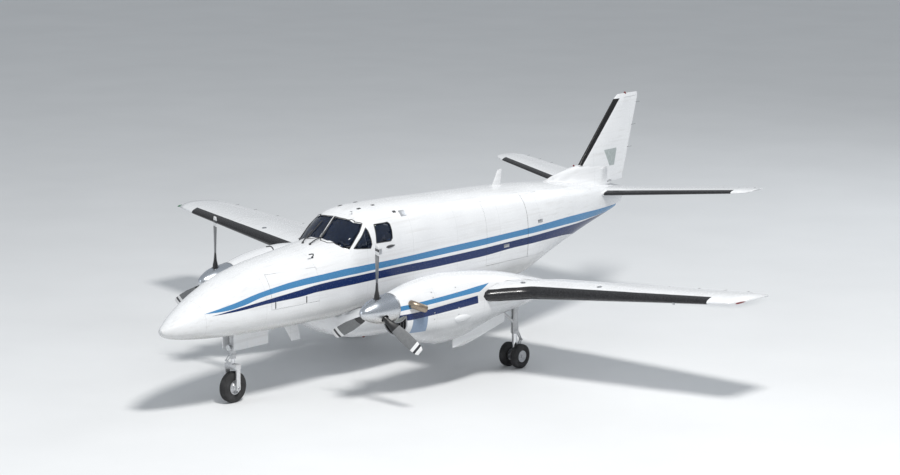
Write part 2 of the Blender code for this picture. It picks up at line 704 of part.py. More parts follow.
# Nacelles, engines, exhausts and propellers
for side, word in ((1, "left"), (-1, "right")):
    yc = side * ENGINE_Y
    rings = []
    for st in [3.66, 3.77, 3.90, 4.1, 4.3, 4.5, 4.7, 5.05, 5.4, 5.8, 6.3, 6.9, 7.5, 8.1, 8.46]:
        low, high, half = (spline(NACELLE, c, st) for c in (1, 2, 3))
        mid = (low + high) / 2
        ring = []
        for k in range(20):
            a = 2 * math.pi * (k + 0.5) / 20
            c, s = math.cos(a), math.sin(a)
            n = 2.3 if s > 0 else 2.15
            ring.append(at(st, yc + half * math.copysign(abs(c) ** (2 / n), c),
                           mid + (high - mid) * math.copysign(abs(s) ** (2 / n), s)))
        rings.append(ring)
    nacelle = loft_object(f"nacelle_{word}", rings, "white_paint")
    center = at(0, yc, PROP_WL)
    bay = [(0, -FIREWALL), (0.31, -FIREWALL), (0.31, -4.15), (0.235, -3.90), (0.20, -3.5), (0, -3.5)]
    boolean(nacelle, turned(f"cut_engine_bay_{word}", bay, center, "X"))
    boolean(nacelle, center_tool)
    first, last, half, roof = WELL
    middle = side * MAIN_GEAR_Y
    well = box(f"cut_main_well_{word}", (first, middle - half, -0.9), (last, middle + half, roof))
    boolean(nacelle, well)
    boolean(wing_center, well)
    arc, lip = chin(yc, COWL_R, 0.025)
    step = arc + [(yc - 0.5, arc[-1][1]), (yc - 0.5, -0.8), (yc + 0.5, -0.8), (yc + 0.5, arc[0][1])]
    boolean(nacelle, prism(f"cut_chin_step_{word}", step, "X", 3.5, LIP_ST))
    arc = chin(yc, COWL_R + 0.02, 0.025)[0]
    boolean(nacelle, prism(f"cut_chin_inlet_{word}", arc + lip[::-1], "X", 3.7, 4.02))
    turned(f"engine_{word}", rod(0.24, -FIREWALL + GAP, -4.16), center, "X", "engine")
    exhaust = turned(f"exhaust_{word}", rod(0.21, -4.16 + GAP, -3.96), center, "X", "exhaust")
    for out in (1, -1):
        path = [at(st, yc + out * y, wl) for st, y, wl in STUB]
        tag = f"{word}_{'a' if out > 0 else 'b'}"
        boolean(exhaust, tube(f"add_stub_{tag}", path, STUB_R), "UNION")
        boolean(nacelle, tube(f"cut_stub_{tag}", path, STUB_R + 0.0015))

    # Propeller with one blade upright, seen along its shaft
    hub_at = at(PROP_ST, yc, PROP_WL)
    shaft = [(0, PROP_ST - 3.96 + GAP), (0.05, PROP_ST - 3.96 + GAP), (0.05, -0.13), (0.12, -0.13),
             (0.12, 0.10), (0, 0.10)]
    prop = turned(f"propeller_{word}", shaft, hub_at, "X", "blade")
    base = 3.66 - 0.012 - PROP_ST
    inside = 0.05 + GAP
    dome = [(0, 0.42), (0.05, 0.405), (0.105, 0.34), (0.165, 0.22), (0.215, 0.08), (0.245, -0.10),
            (0.262, -base), (inside, -base), (inside, -0.13 - GAP), (inside + 0.07, -0.13 - GAP),
            (inside + 0.07, 0.10 + GAP), (0, 0.10 + GAP)]
    spinner = turned(f"spinner_{word}", dome, hub_at, "X", "chrome")
    for k in range(3):
        turn = math.radians(120 * k)
        rings = []
        for r, chord, thick, pitch in [(0.06, 0.10, 0.10, 60), (0.27, 0.10, 0.10, 60),
                                       (0.36, 0.135, 0.06, 52), (0.50, 0.18, 0.038, 44),
                                       (0.75, 0.215, 0.026, 34), (1.00, 0.205, 0.017, 27),
                                       (1.13, 0.175, 0.013, 24), (PROP_R, 0.12, 0.010, 23)]:
            p = math.radians(pitch)
            ring = []
            for j in range(12):
                a = 2 * math.pi * j / 12
                u, w = chord / 2 * math.cos(a), thick / 2 * math.sin(a)
                fore = u * math.sin(p) + w * math.cos(p)
                cross = u * math.cos(p) - w * math.sin(p)
                y = r * math.sin(turn) + cross * math.cos(turn)
                z = r * math.cos(turn) - cross * math.sin(turn)
                ring.append((hub_at[0] + fore, hub_at[1] + y, hub_at[2] + z))
            rings.append(ring)
        boolean(prop, loft_object(f"add_blade_{word}_{k}", rings), "UNION")
        root = [(hub_at[0], hub_at[1] + r * math.sin(turn), hub_at[2] + r * math.cos(turn))
                for r in (0.03, 0.36)]
        boolean(spinner, bar(f"cut_blade_{word}_{k}", *root, 0.075))

# Tail
tail_marks = [-y for y in (3.20, 3.05, 0.30)] + [0.0, 0.30, 3.05, 3.20]
tailplane = loft_object("tailplane", wing_rings(TAILPLANE, tail_marks, 1, 0, 9), "white_paint")
boolean(tail, loft_object("cut_tailplane", wing_rings(TAILPLANE, tail_marks, 1, 2 * GAP, 9)))
for side, word in ((1, "left"), (-1, "right")):
    control(f"elevator_{word}", tailplane, TAILPLANE, ELEVATOR, (ELEVATOR_HINGE, 0.62), side)


def fin_rings(grow=0.0):
    rings = []
    for wl, le, chord, thick in FIN:
        shape = airfoil(thick, 10)
        ring = []
        for i, (x, z) in enumerate(shape):
            half = abs(z - shape[len(shape) - 1 - i][1]) / 2
            sign = 1 if i < len(shape) // 2 else (-1 if i > len(shape) // 2 else 0)
            ring.append(at(le + x * (chord + 2 * grow) - grow, sign * (half * chord + grow), wl))
        rings.append(ring)
    return rings


fin = loft_object("fin", fin_rings(), "white_paint")
DORSAL = [(10.45, 1.300, 0.02), (10.75, 1.385, 0.045), (11.10, 1.450, 0.08), (11.55, 1.515, 0.105),
          (12.20, 1.490, 0.11), (12.64, 1.44, 0.06)]
rings = [[at(st, y, z) for y, z in ((-half, 1.0), (half, 1.0), (half, top - 0.12), (half * 0.7, top - 0.04),
                                    (half * 0.25, top), (-half * 0.25, top),
                                    (-half * 0.7, top - 0.04), (-half, top - 0.12))]
         for st, top, half in DORSAL]
boolean(tail, loft_object("add_dorsal", rings), "UNION")
boolean(tail, loft_object("cut_fin", fin_rings(2 * GAP)))


def rudder_rings(gap=None, extra=0.0):
    points, chords, radii = [], [], []
    for k, wl in enumerate((RUDDER[0] - extra, RUDDER[1] + extra)):
        le, chord, thick = (line(FIN, c, wl) for c in (1, 2, 3))
        hinge = float(np.interp(wl, RUDDER, RUDDER_HINGE_ST))
        f = (hinge - le) / chord
        half = 5 * thick * (0.2969 * math.sqrt(f) - 0.126 * f - 0.3516 * f * f + 0.2843 * f ** 3
                            - 0.1036 * f ** 4) * chord
        points.append(np.array(at(hinge, 0, wl)))
        chords.append(le + chord - hinge)
        radii.append(half * 0.95)
    return control_rings(points, chords, radii, np.array((-1.0, 0, 0)), np.array((0, 1.0, 0)), gap)


mid = at(sum(RUDDER_HINGE_ST) / 2, 0, sum(RUDDER) / 2)
rudder = loft_object("rudder", rudder_rings(), "white_paint", mid)
HINGES["rudder"] = (mid, tuple(np.array(at(RUDDER_HINGE_ST[1], 0, RUDDER[1]))
                               - np.array(at(RUDDER_HINGE_ST[0], 0, RUDDER[0]))))
rudder_cut = loft_object("cut_rudder", rudder_rings(RUN, RUN))
boolean(fin, rudder_cut)
hinge_pin(rudder, fin, "rudder", *[np.array(at(st, 0, wl)) for st, wl in
                                   zip(RUDDER_HINGE_ST, RUDDER)])
boolean(tail, box("cut_rudder_foot", (12.5, -0.4, RUDDER[0] - RUN), (13.9, 0.4, RUDDER[1])))

# Cargo pod under the belly
POD = [(3.50, -0.36, 0.20), (3.75, -0.52, 0.42), (4.15, -0.70, 0.56), (4.70, -0.84, 0.62),
       (5.60, -0.90, 0.64), (6.60, -0.90, 0.64), (7.20, -0.83, 0.58), (7.80, -0.63, 0.44),
       (8.30, -0.38, 0.22)]
rings = []
for st in [3.50, 3.62, 3.75, 3.95, 4.15, 4.7, 5.6, 6.6, 7.2, 7.5, 7.8, 8.05, 8.3]:
    low, half = spline(POD, 1, st), spline(POD, 2, st)
    ring = []
    for k in range(20):
        a = 2 * math.pi * (k + 0.5) / 20
        c, s = math.cos(a), math.sin(a)
        y = half * math.copysign(abs(c) ** (2 / 3.0), c)
        z = -0.22 + (0.1 if s > 0 else -0.22 - low) * math.copysign(abs(s) ** (2 / 3.0), s)
        ring.append(at(st, y, z))
    rings.append(ring)
pod = loft_object("cargo_pod", rings, "white_paint")
boolean(pod, loft_object("cut_belly", [fuselage_ring(s, -GAP) for s in stations(3.3, 8.6)]))
boolean(pod, center_tool)

# Cockpit
panel = [(4.02, 0.62), (4.02, 0.98), (4.30, 1.02), (4.36, 0.99), (4.28, 0.62)]
ledge = prism("instrument_panel", panel, "Y", -0.75, 0.75, "panel")
for side, word in ((1, "left"), (-1, "right")):
    yoke = at(4.20, side * 0.36, 0.80)
    boolean(ledge, turned(f"add_column_{word}", rod(0.018, -0.30, 0.0), yoke, "X"), "UNION")
    wheel = [at(4.485, side * 0.36 + dy, 0.80 + dz) for dy, dz in
             ((-0.17, 0.13), (-0.16, 0.02), (-0.08, -0.01), (0.08, -0.01), (0.16, 0.02), (0.17, 0.13))]
    boolean(ledge, tube(f"add_yoke_{word}", wheel, 0.016), "UNION")
    seat = [(4.72, COCKPIT_FLOOR + GAP), (4.72, 0.44), (4.62, 0.48), (4.64, 0.56), (5.08, 0.54),
            (5.22, 1.18), (5.32, 1.18), (5.20, 0.44), (5.16, COCKPIT_FLOOR + GAP)]
    prism(f"seat_{word}", seat, "Y", side * 0.36 - 0.22, side * 0.36 + 0.22, "seat")
stand = prism("add_pedestal", [(4.10, COCKPIT_FLOOR + GAP), (4.10, 0.70), (4.26, 0.70), (4.60, 0.40),
                               (4.60, COCKPIT_FLOOR + GAP)], "Y", -0.09, 0.09)
boolean(ledge, stand, "UNION")
boolean(ledge, loft_object("keep_cockpit_space", [fuselage_ring(s, SKIN + GAP, COCKPIT_FLOOR + GAP) for s in
                                                  stations(NOSE_END + 0.13, 5.3)]), "INTERSECT")

# Nose gear
foot = at(NOSE_GEAR_ST, 0, NOSE_WHEEL_R - NOSE_WL)
leg = turned("nose_gear_leg", rod(0.058, 0.52, 0.08 + NOSE_WL - NOSE_WHEEL_R - GAP), foot,
                    "Z", "gear")
boolean(leg, bar("add_drag_brace", at(1.78, 0, -0.62), at(2.60, 0, 0.02), 0.028), "UNION")
brace_stop = box("add_brace_foot", (2.50, -0.06, -0.02), (2.68, 0.06, 0.08 - GAP))
boolean(leg, brace_stop, "UNION")
boolean(leg, turned("cut_leg_bore", rod(bore(0.040, 20), 0.4, 0.86), foot, "Z"))
fork = turned("nose_gear_fork", rod(0.040, 0.40, 0.84), foot, "Z", "gear")
boolean(fork, box("add_fork_crown", (NOSE_GEAR_ST - 0.06, -0.145, -NOSE_WL + NOSE_WHEEL_R + 0.33),
                  (NOSE_GEAR_ST + 0.06, 0.145, -NOSE_WL + NOSE_WHEEL_R + 0.42)), "UNION")
for side in (1, -1):
    arm = box(f"add_fork_arm_{side}", (NOSE_GEAR_ST - 0.045, side * 0.115, -NOSE_WL + 0.235),
              (NOSE_GEAR_ST + 0.045, side * 0.145, -NOSE_WL + NOSE_WHEEL_R + 0.40))
    boolean(fork, arm, "UNION")
boolean(fork, turned("cut_fork_axle", rod(0.022 + GAP, -0.3, 0.3), foot, "Y", None, 24))
hub_r = 0.125
hub = [(0, -0.15), (0.022, -0.15), (0.022, -0.10), (0.05, -0.10), (0.05, -0.05), (hub_r, -0.062),
       (hub_r, 0.062), (0.05, 0.05), (0.05, 0.10), (0.022, 0.10), (0.022, 0.15), (0, 0.15)]
turned("nose_hub", hub, foot, "Y", "hub", 24)


def tyre_profile(inner, outer, width):
    h = width / 2
    return [(inner, -h * 0.72), (inner + 0.45 * (outer - inner), -h), (outer - 0.02, -h * 0.80),
            (outer, -h * 0.50), (outer, h * 0.50), (outer - 0.02, h * 0.80),
            (inner + 0.45 * (outer - inner), h), (inner, h * 0.72)]


turned("nose_tyre", tyre_profile(hub_r + GAP, NOSE_WHEEL_R, NOSE_TYRE_W), foot, "Y", "tyre", 24)
for side, word in ((1, "left"), (-1, "right")):
    plate = box(f"nose_gear_door_{word}", (1.64, side * 0.128, -0.58), (2.50, side * (0.15 - GAP), -0.10),
                "white_paint")

# Main gear
for side, word in ((1, "left"), (-1, "right")):
    yc = side * MAIN_GEAR_Y
    axle = at(MAIN_GEAR_ST, yc, MAIN_WHEEL_R - NOSE_WL)
    top = -0.03 + NOSE_WL - MAIN_WHEEL_R - GAP
    column = [(0, 0.02), (0.05, 0.02), (0.05, 0.42), (0.068, 0.42), (0.068, top), (0, top)]
    leg = turned(f"main_gear_leg_{word}", column, axle, "Z", "gear")
    boolean(leg, turned(f"add_foot_{word}", rod(0.062, -0.052, 0.052), axle, "Y"), "UNION")
    boolean(leg, bar(f"add_brace_{word}", at(MAIN_GEAR_ST - 0.02, yc, -0.70), at(6.35, yc, -0.09),
                     0.03), "UNION")
    boolean(leg, box(f"add_brace_top_{word}", (6.25, yc - 0.05, -0.14), (6.45, yc + 0.05, -0.03 - GAP)),
            "UNION")
    boolean(leg, turned(f"cut_axle_{word}", rod(0.030 + GAP, -0.3, 0.3), axle, "Y", None, 24))
    hub_r = 0.105
    t = MAIN_TWIN
    profile = [(0, -t - 0.06), (0.05, -t - 0.06), (hub_r, -t - 0.055), (hub_r, -t + 0.055),
               (0.05, -t + 0.045), (0.03, -t + 0.045), (0.03, t - 0.045), (0.05, t - 0.045),
               (hub_r, t - 0.055), (hub_r, t + 0.055), (0.05, t + 0.06), (0, t + 0.06)]
    turned(f"main_hubs_{word}", profile, axle, "Y", "hub", 24)
    for place, off in (("outer", side * t), ("inner", -side * t)):
        spot = (axle[0], axle[1] + off, axle[2])
        turned(f"main_tyre_{word}_{place}", tyre_profile(hub_r + GAP, MAIN_WHEEL_R, MAIN_TYRE_W),
               spot, "Y", "tyre", 24)
    for place, out in (("outer", side), ("inner", -side)):
        wall = yc + out * WELL[2]
        lo, hi = sorted((wall - out * GAP, wall - out * 0.022))
        prism(f"main_gear_door_{word}_{place}", GEAR_DOOR, "Y", lo, hi, "white_paint")
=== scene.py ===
"""Dresses the turboprop airliner: paint and stripes, glass, rubber and metal, and the
small pieces that the solids leave out, from antennas and wipers to tyre treads.

Stations (st) are metres behind the nose tip and water lines (wl) metres above it.
"""
import bisect
import math

import bmesh
import bpy
import numpy as np
from mathutils import Matrix, Vector


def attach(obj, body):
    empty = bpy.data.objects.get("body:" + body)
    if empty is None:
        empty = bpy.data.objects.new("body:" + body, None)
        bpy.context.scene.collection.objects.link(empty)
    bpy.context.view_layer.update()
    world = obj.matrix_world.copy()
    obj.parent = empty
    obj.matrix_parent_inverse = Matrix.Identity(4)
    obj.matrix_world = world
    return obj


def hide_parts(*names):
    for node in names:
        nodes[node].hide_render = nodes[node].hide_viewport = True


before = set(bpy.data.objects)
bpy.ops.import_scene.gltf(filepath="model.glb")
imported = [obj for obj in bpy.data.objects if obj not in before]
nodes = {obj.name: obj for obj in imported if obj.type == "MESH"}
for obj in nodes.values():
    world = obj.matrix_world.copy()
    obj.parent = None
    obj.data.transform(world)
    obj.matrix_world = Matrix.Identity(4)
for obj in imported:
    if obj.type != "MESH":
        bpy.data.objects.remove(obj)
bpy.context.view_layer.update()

NOSE_X, NOSE_WL = 6.79, 1.55
SIDES = ((1, "left"), (-1, "right"))
ENGINE_Y, PROP_ST, PROP_WL = 2.0, 3.33, 0.15
NOSE_GEAR_ST, MAIN_GEAR_ST, MAIN_GEAR_Y = 1.75, 7.22, 1.98


def at(st, y, wl):
    return Vector((NOSE_X - st, y, NOSE_WL + wl))


# Camera at the photograph's angle, and light
scene = bpy.context.scene
lens = bpy.data.cameras.new("camera")
lens.sensor_width = 36.0
lens.lens = 115.72
lens.clip_end = 400
camera = bpy.data.objects.new("camera", lens)
scene.collection.objects.link(camera)
right = Vector((-0.64781, 0.76175, 0.00910))
up = Vector((-0.13851, -0.12952, 0.98186))
back = Vector((0.74910, 0.63480, 0.18941))
turn = Matrix((right, up, back)).transposed().to_4x4()
camera.matrix_world = Matrix.Translation((40.591, 35.138, 12.624)) @ turn
scene.camera = camera


def lamp(name, place, aim, size, power, color):
    light = bpy.data.lights.new(name, "AREA")
    light.shape = "DISK"
    light.size = size
    light.energy = power
    light.color = color
    ob = bpy.data.objects.new(name, light)
    ob.location = place
    ob.rotation_euler = (Vector(aim) - Vector(place)).to_track_quat("-Z", "Y").to_euler()
    scene.collection.objects.link(ob)


lamp("key", (10, 16, 30), (0, 0, 1.5), 7, 9800, (1.0, 0.985, 0.96))
lamp("fill", (26, -14, 12), (1, 0, 1.5), 18, 1000, (0.88, 0.94, 1.0))
lamp("rim", (-24, 4, 16), (-2, 0, 2), 14, 1100, (0.92, 0.96, 1.0))
world = bpy.data.worlds.new("studio")
world.use_nodes = True
world.node_tree.nodes["Background"].inputs["Color"].default_value = (0.90, 0.95, 1.0, 1)
world.node_tree.nodes["Background"].inputs["Strength"].default_value = 0.44
scene.world = world
scene.view_settings.view_transform = "Standard"


class Finish:
    """A material made of patterns, all in the airframe's own metres."""

    def __init__(self, name, roughness=0.4, metallic=0.0, coat=0.0):
        self.material = bpy.data.materials.new(name)
        self.material.use_nodes = True
        self.tree = self.material.node_tree
        self.shader = self.tree.nodes["Principled BSDF"]
        self.shader.inputs["Roughness"].default_value = roughness
        self.shader.inputs["Metallic"].default_value = metallic
        self.shader.inputs["Coat Weight"].default_value = coat
        self.shader.inputs["Coat Roughness"].default_value = 0.06
        self.place = self.node("ShaderNodeTexCoord").outputs["Object"]
        self.x, self.y, self.z = self.node("ShaderNodeSeparateXYZ", self.place).outputs

    def node(self, kind, *inputs, **settings):
        made = self.tree.nodes.new(kind)
        for key, value in settings.items():
            setattr(made, key, value)
        for socket, value in zip(made.inputs, inputs):
            self.put(socket, value)
        return made

    def put(self, socket, value):
        if isinstance(value, bpy.types.NodeSocket):
            self.tree.links.new(value, socket)
        elif value is not None:
            socket.default_value = value

    def calc(self, operation, *values, clamp=False):
        return self.node("ShaderNodeMath", *values, operation=operation, use_clamp=clamp).outputs[0]

    def ramp(self, value, low, high, first=0.0, last=1.0):
        return self.node("ShaderNodeMapRange", value, low, high, first, last).outputs[0]

    def inside(self, value, low, high, soft=0.002):
        """1 where value lies between low and high."""
        over = self.calc("DIVIDE", self.calc("SUBTRACT", value, low), soft, clamp=True)
        under = self.calc("DIVIDE", self.calc("SUBTRACT", high, value), soft, clamp=True)
        return self.calc("MULTIPLY", over, under)

    def all_of(self, *masks):
        out = masks[0]
        for mask in masks[1:]:
            out = self.calc("MULTIPLY", out, mask)
        return out

    def any_of(self, *masks):
        out = masks[0]
        for mask in masks[1:]:
            out = self.calc("MAXIMUM", out, mask)
        return out

    def mix(self, factor, first, second):
        made = self.node("ShaderNodeMix", data_type="RGBA")
        self.put(made.inputs["Factor"], factor)
        self.put(made.inputs["A"], first if not isinstance(first, tuple) else (*first, 1)[:4])
        self.put(made.inputs["B"], second if not isinstance(second, tuple) else (*second, 1)[:4])
        return made.outputs["Result"]

    def noise(self, scale, detail=3.0, stretch=None):
        place = self.place
        if stretch:
            mapping = self.node("ShaderNodeMapping", place)
            mapping.inputs["Scale"].default_value = stretch
            place = mapping.outputs[0]
        made = self.node("ShaderNodeTexNoise")
        self.put(made.inputs["Vector"], place)
        made.inputs["Scale"].default_value = scale
        made.inputs["Detail"].default_value = detail
        return made.outputs["Fac"]

    def along(self, value, points, low, high, handle="VECTOR"):
        """A line through (value, result) points; results lie between low and high."""
        first, last = points[0][0], points[-1][0]
        made = self.node("ShaderNodeFloatCurve")
        line = made.mapping.curves[0]
        spots = [((a - first) / (last - first), (b - low) / (high - low)) for a, b in points]
        for k, spot in enumerate(spots):
            if k < 2:
                line.points[k].location = spot
            else:
                line.points.new(*spot)
        for point in line.points:
            point.handle_type = handle
        made.mapping.update()
        self.put(made.inputs["Value"], self.ramp(value, first, last))
        return self.ramp(made.outputs[0], 0.0, 1.0, low, high)

    def station(self):
        return self.calc("SUBTRACT", NOSE_X, self.x)

    def height(self):
        return self.calc("SUBTRACT", self.z, NOSE_WL)

    def rivets(self, across, pitch, row, radius=0.0035):
        """Dots along rows: rows every row metres, dots every pitch metres across them."""
        first = self.calc("PINGPONG", self.x, row / 2)
        second = self.calc("PINGPONG", across, pitch / 2)
        far = self.calc("SQRT", self.calc("ADD", self.calc("POWER", first, 2.0),
                                          self.calc("POWER", second, 2.0)))
        return self.ramp(far, radius * 0.5, radius, 1.0, 0.0)

    def done(self, color, roughness=None, bump=None, strength=0.2, distance=0.002):
        if isinstance(color, tuple):
            color = (*color, 1)[:4]
        self.put(self.shader.inputs["Base Color"], color)
        self.put(self.shader.inputs["Roughness"], roughness)
        if bump is not None:
            made = self.node("ShaderNodeBump")
            made.inputs["Strength"].default_value = strength
            made.inputs["Distance"].default_value = distance
            self.put(made.inputs["Height"], bump)
            self.put(self.shader.inputs["Normal"], made.outputs[0])
        return self.material


WHITE, WHITE_WORN = (0.79, 0.80, 0.815), (0.69, 0.70, 0.72)
LIGHT_BLUE, DARK_BLUE = (0.060, 0.215, 0.42), (0.008, 0.024, 0.105)
BLACK, GRIME = (0.012, 0.012, 0.013), (0.36, 0.33, 0.30)


def paint(name, marks=None, across="z"):
    """Gloss white paint with rivet rows, faint wear and grime, and marks laid over it."""
    f = Finish(name, 0.25, 0.0, 0.12)
    f.shader.inputs["Specular IOR Level"].default_value = 0.32
    cloud = f.noise(1.3, 4.0)
    fine = f.noise(38.0, 3.0)
    streak = f.noise(2.0, 4.0, (0.35, 9.0, 9.0))
    color = f.mix(f.ramp(cloud, 0.35, 0.75, 0.0, 0.55), WHITE, WHITE_WORN)
    dirt = f.calc("MULTIPLY", f.ramp(streak, 0.52, 0.80), 0.22)
    color = f.mix(dirt, color, GRIME)
    way = f.y if across == "y" else f.z
    dots = f.rivets(way, 0.028, 0.42)
    seams = f.inside(f.calc("PINGPONG", f.calc("ADD", f.x, 0.21), 0.63), -0.01, 0.0022, 0.001)
    color = f.mix(f.calc("MULTIPLY", seams, 0.45), color, (0.25, 0.26, 0.28))
    color = f.mix(f.calc("MULTIPLY", dots, 0.22), color, (0.35, 0.36, 0.38))
    if marks:
        color = marks(f, color)
    rough = f.ramp(fine, 0.3, 0.8, 0.17, 0.34)
    height = f.calc("ADD", f.calc("MULTIPLY", f.noise(1.9, 2.0), 0.9),
                    f.calc("SUBTRACT", f.calc("MULTIPLY", dots, 0.3), f.calc("MULTIPLY", seams, 0.5)))
    return f.done(color, rough, height, 0.35, 0.002)


LIGHT_TOP = [(0.70, 0.272), (1.20, 0.371), (2.08, 0.535), (2.80, 0.603), (3.28, 0.620),
             (4.27, 0.643), (5.36, 0.635), (6.48, 0.647), (7.65, 0.653), (8.86, 0.666),
             (10.25, 0.680), (11.00, 0.665), (11.93, 0.627), (13.10, 0.60)]
LIGHT_LOW = [(0.70, 0.268), (1.05, 0.275), (1.38, 0.315), (2.05, 0.440), (2.76, 0.490), (3.25, 0.503),
             (4.26, 0.515), (5.36, 0.519), (6.49, 0.523), (7.65, 0.527), (8.86, 0.549),
             (10.25, 0.539), (11.20, 0.512), (12.02, 0.495), (13.10, 0.47)]
DARK_TOP = [(0.82, 0.226), (1.38, 0.298), (2.04, 0.368), (2.75, 0.427), (3.24, 0.463),
            (4.26, 0.478), (5.36, 0.478), (6.49, 0.466), (7.65, 0.469), (8.86, 0.490),
            (10.25, 0.499), (11.08, 0.486), (12.02, 0.494), (13.10, 0.47)]
DARK_LOW = [(0.82, 0.222), (1.38, 0.247), (2.03, 0.290), (2.74, 0.303), (3.23, 0.330), (4.26, 0.330),
            (5.36, 0.328), (6.49, 0.312), (7.66, 0.313), (8.87, 0.350), (10.30, 0.330),
            (10.90, 0.260), (11.50, 0.120), (13.10, 0.0)]


def fuselage_marks(f, color):
    """The two blue bands that run from nose to tail, and painted shade with a brown-grey painted ground reflection
    on the belly.
    """
    st, wl = f.station(), f.height()
    # Painted shade and painted ground reflection: the belly turns a blotchy brown-grey below the waist line.
    belly = f.calc("MULTIPLY", f.ramp(wl, 0.16, -0.28), f.ramp(f.noise(3.0, 4.0, (0.3, 3, 1)), 0.3, 0.7,
                                                             0.45, 0.85))
    color = f.mix(belly, color, (0.40, 0.39, 0.365))
    for top, low, tint in ((LIGHT_TOP, LIGHT_LOW, LIGHT_BLUE), (DARK_TOP, DARK_LOW, DARK_BLUE)):
        band = f.all_of(f.inside(wl, f.along(st, low, -0.1, 0.8, "AUTO_CLAMPED"),
                                 f.along(st, top, -0.1, 0.8, "AUTO_CLAMPED")),
                        f.inside(st, top[0][0], 12.72))
        color = f.mix(band, color, tint)
    return color


NACELLE_LIGHT = ([(3.60, 0.205), (4.05, 0.234), (4.40, 0.250), (4.98, 0.272), (5.61, 0.297), (5.96, 0.305)],
                 [(3.60, 0.120), (4.04, 0.154), (4.39, 0.167), (4.96, 0.189), (5.64, 0.199), (5.96, 0.302)])
NACELLE_DARK = ([(3.60, 0.050), (4.23, 0.079), (4.75, 0.109), (5.57, 0.140)],
                [(3.60, -0.070), (4.23, -0.041), (4.74, -0.022), (5.57, 0.001)])


def nacelle_marks(f, color):
    """Blue bands on the cowling, painted shade on the belly, and soot behind the exhausts."""
    st, wl = f.station(), f.height()
    soot = f.all_of(f.ramp(st, 4.2, 4.5), f.ramp(st, 7.6, 5.0), f.inside(wl, -0.20, 0.36, 0.18),
                    f.ramp(f.noise(2.2, 5.0, (0.25, 3, 4)), 0.38, 0.75, 0.0, 0.75))
    # Painted shade: the cowling's underside turns a blotchy grey towards the bottom.
    belly = f.calc("MULTIPLY", f.ramp(wl, -0.16, -0.34), f.ramp(f.noise(4.0, 4.0, (0.4, 1, 1)), 0.3, 0.75,
                                                              0.55, 0.95))
    color = f.mix(belly, color, (0.40, 0.41, 0.42))
    color = f.mix(f.calc("MULTIPLY", soot, 0.6), color, (0.36, 0.33, 0.30))
    panel = f.all_of(f.inside(st, 3.92, 4.26, 0.004), f.inside(wl, -0.32, -0.035, 0.004))
    color = f.mix(panel, color, (0.22, 0.29, 0.40))
    for (top, low), tint in ((NACELLE_LIGHT, LIGHT_BLUE), (NACELLE_DARK, DARK_BLUE)):
        band = f.all_of(f.inside(wl, f.along(st, low, -0.2, 0.5), f.along(st, top, -0.2, 0.5)),
                        f.inside(st, 3.5, top[-1][0]))
        color = f.mix(band, color, tint)
    return color


WING_EDGE = [(0.0, 5.70), (2.45, 5.72), (2.95, 6.32), (4.90, 6.74), (6.60, 7.12), (7.0, 7.25)]
TAIL_EDGE = [(0.0, 11.97), (0.30, 12.02), (3.05, 12.82), (3.3, 12.95)]


def boots(edge, wide, spans):
    """Black rubber de-icing boots along a leading edge."""
    def marks(f, color):
        out = f.calc("ABSOLUTE", f.y)
        low = min(b for a, b in edge) - 0.1
        high = max(b for a, b in edge) + 0.1
        aft = f.calc("SUBTRACT", f.station(), f.along(out, edge, low, high))
        mask = f.all_of(f.inside(aft, -1.0, wide), f.inside(out, *spans))
        rubber = f.mix(f.ramp(f.noise(30, 4), 0.3, 0.8), BLACK, (0.035, 0.035, 0.038))
        return f.mix(mask, color, rubber)
    return marks


def fin_marks(f, color):
    """The boot along the fin's leading edge."""
    edge = f.along(f.height(), [(1.0, 11.22), (1.5, 11.55), (2.74, 12.76), (2.9, 12.9)], 11.0, 13.0)
    aft = f.calc("SUBTRACT", f.station(), edge)
    mask = f.all_of(f.inside(aft, -1.0, 0.165), f.inside(f.height(), 1.44, 2.74))
    low = f.along(f.height(), [(1.39, 12.59), (1.74, 12.38)], 12.0, 13.0)
    plate = f.all_of(f.inside(f.height(), 1.39, 1.74, 0.004),
                     f.inside(f.calc("SUBTRACT", f.station(), low), 0.0, 0.44, 0.004))
    color = f.mix(plate, color, f.mix(f.ramp(f.noise(20, 3), 0.3, 0.7), (0.33, 0.37, 0.37), (0.42, 0.46, 0.46)))
    return f.mix(mask, color, BLACK)


def blade_finish(name, side):
    """Black root with a rubber boot, grey middle, and white and dark tip bands."""
    f = Finish(name, 0.42, 0.0, 0.1)
    y = f.calc("SUBTRACT", f.y, side * ENGINE_Y)
    z = f.calc("SUBTRACT", f.z, NOSE_WL + PROP_WL)
    far = f.calc("SQRT", f.calc("ADD", f.calc("POWER", y, 2.0), f.calc("POWER", z, 2.0)))
    wear = f.noise(25, 5)
    color = f.mix(f.ramp(wear, 0.4, 0.8, 0, 0.4), (0.15, 0.155, 0.16), (0.24, 0.245, 0.25))
    color = f.mix(f.inside(far, -1.0, 0.52), color, BLACK)
    color = f.mix(f.inside(far, 1.00, 2.0), color, (0.78, 0.78, 0.78))
    color = f.mix(f.inside(far, 1.065, 1.115), color, (0.03, 0.03, 0.035))
    return f.done(color, f.ramp(wear, 0.3, 0.8, 0.34, 0.5), wear, 0.08, 0.001)


def metal(name, color, roughness, metallic=1.0, grain=(1, 1, 1), scale=60, spread=0.12):
    f = Finish(name, roughness, metallic)
    wear = f.noise(scale, 4.0, grain)
    tint = tuple(c * 0.78 for c in color)
    shade = f.mix(f.ramp(wear, 0.35, 0.75), color, tint)
    return f.done(shade, f.ramp(wear, 0.3, 0.8, roughness - spread / 2, roughness + spread / 2),
                  wear, 0.06, 0.001)


def rubber(name, color, roughness=0.7):
    f = Finish(name, roughness)
    wear = f.noise(45, 5)
    dust = f.noise(6, 3)
    shade = f.mix(f.ramp(dust, 0.45, 0.8, 0, 0.5), color, tuple(min(1, c * 2.4 + 0.02) for c in color))
    return f.done(shade, f.ramp(wear, 0.3, 0.8, roughness - 0.1, roughness + 0.12), wear, 0.25, 0.001)


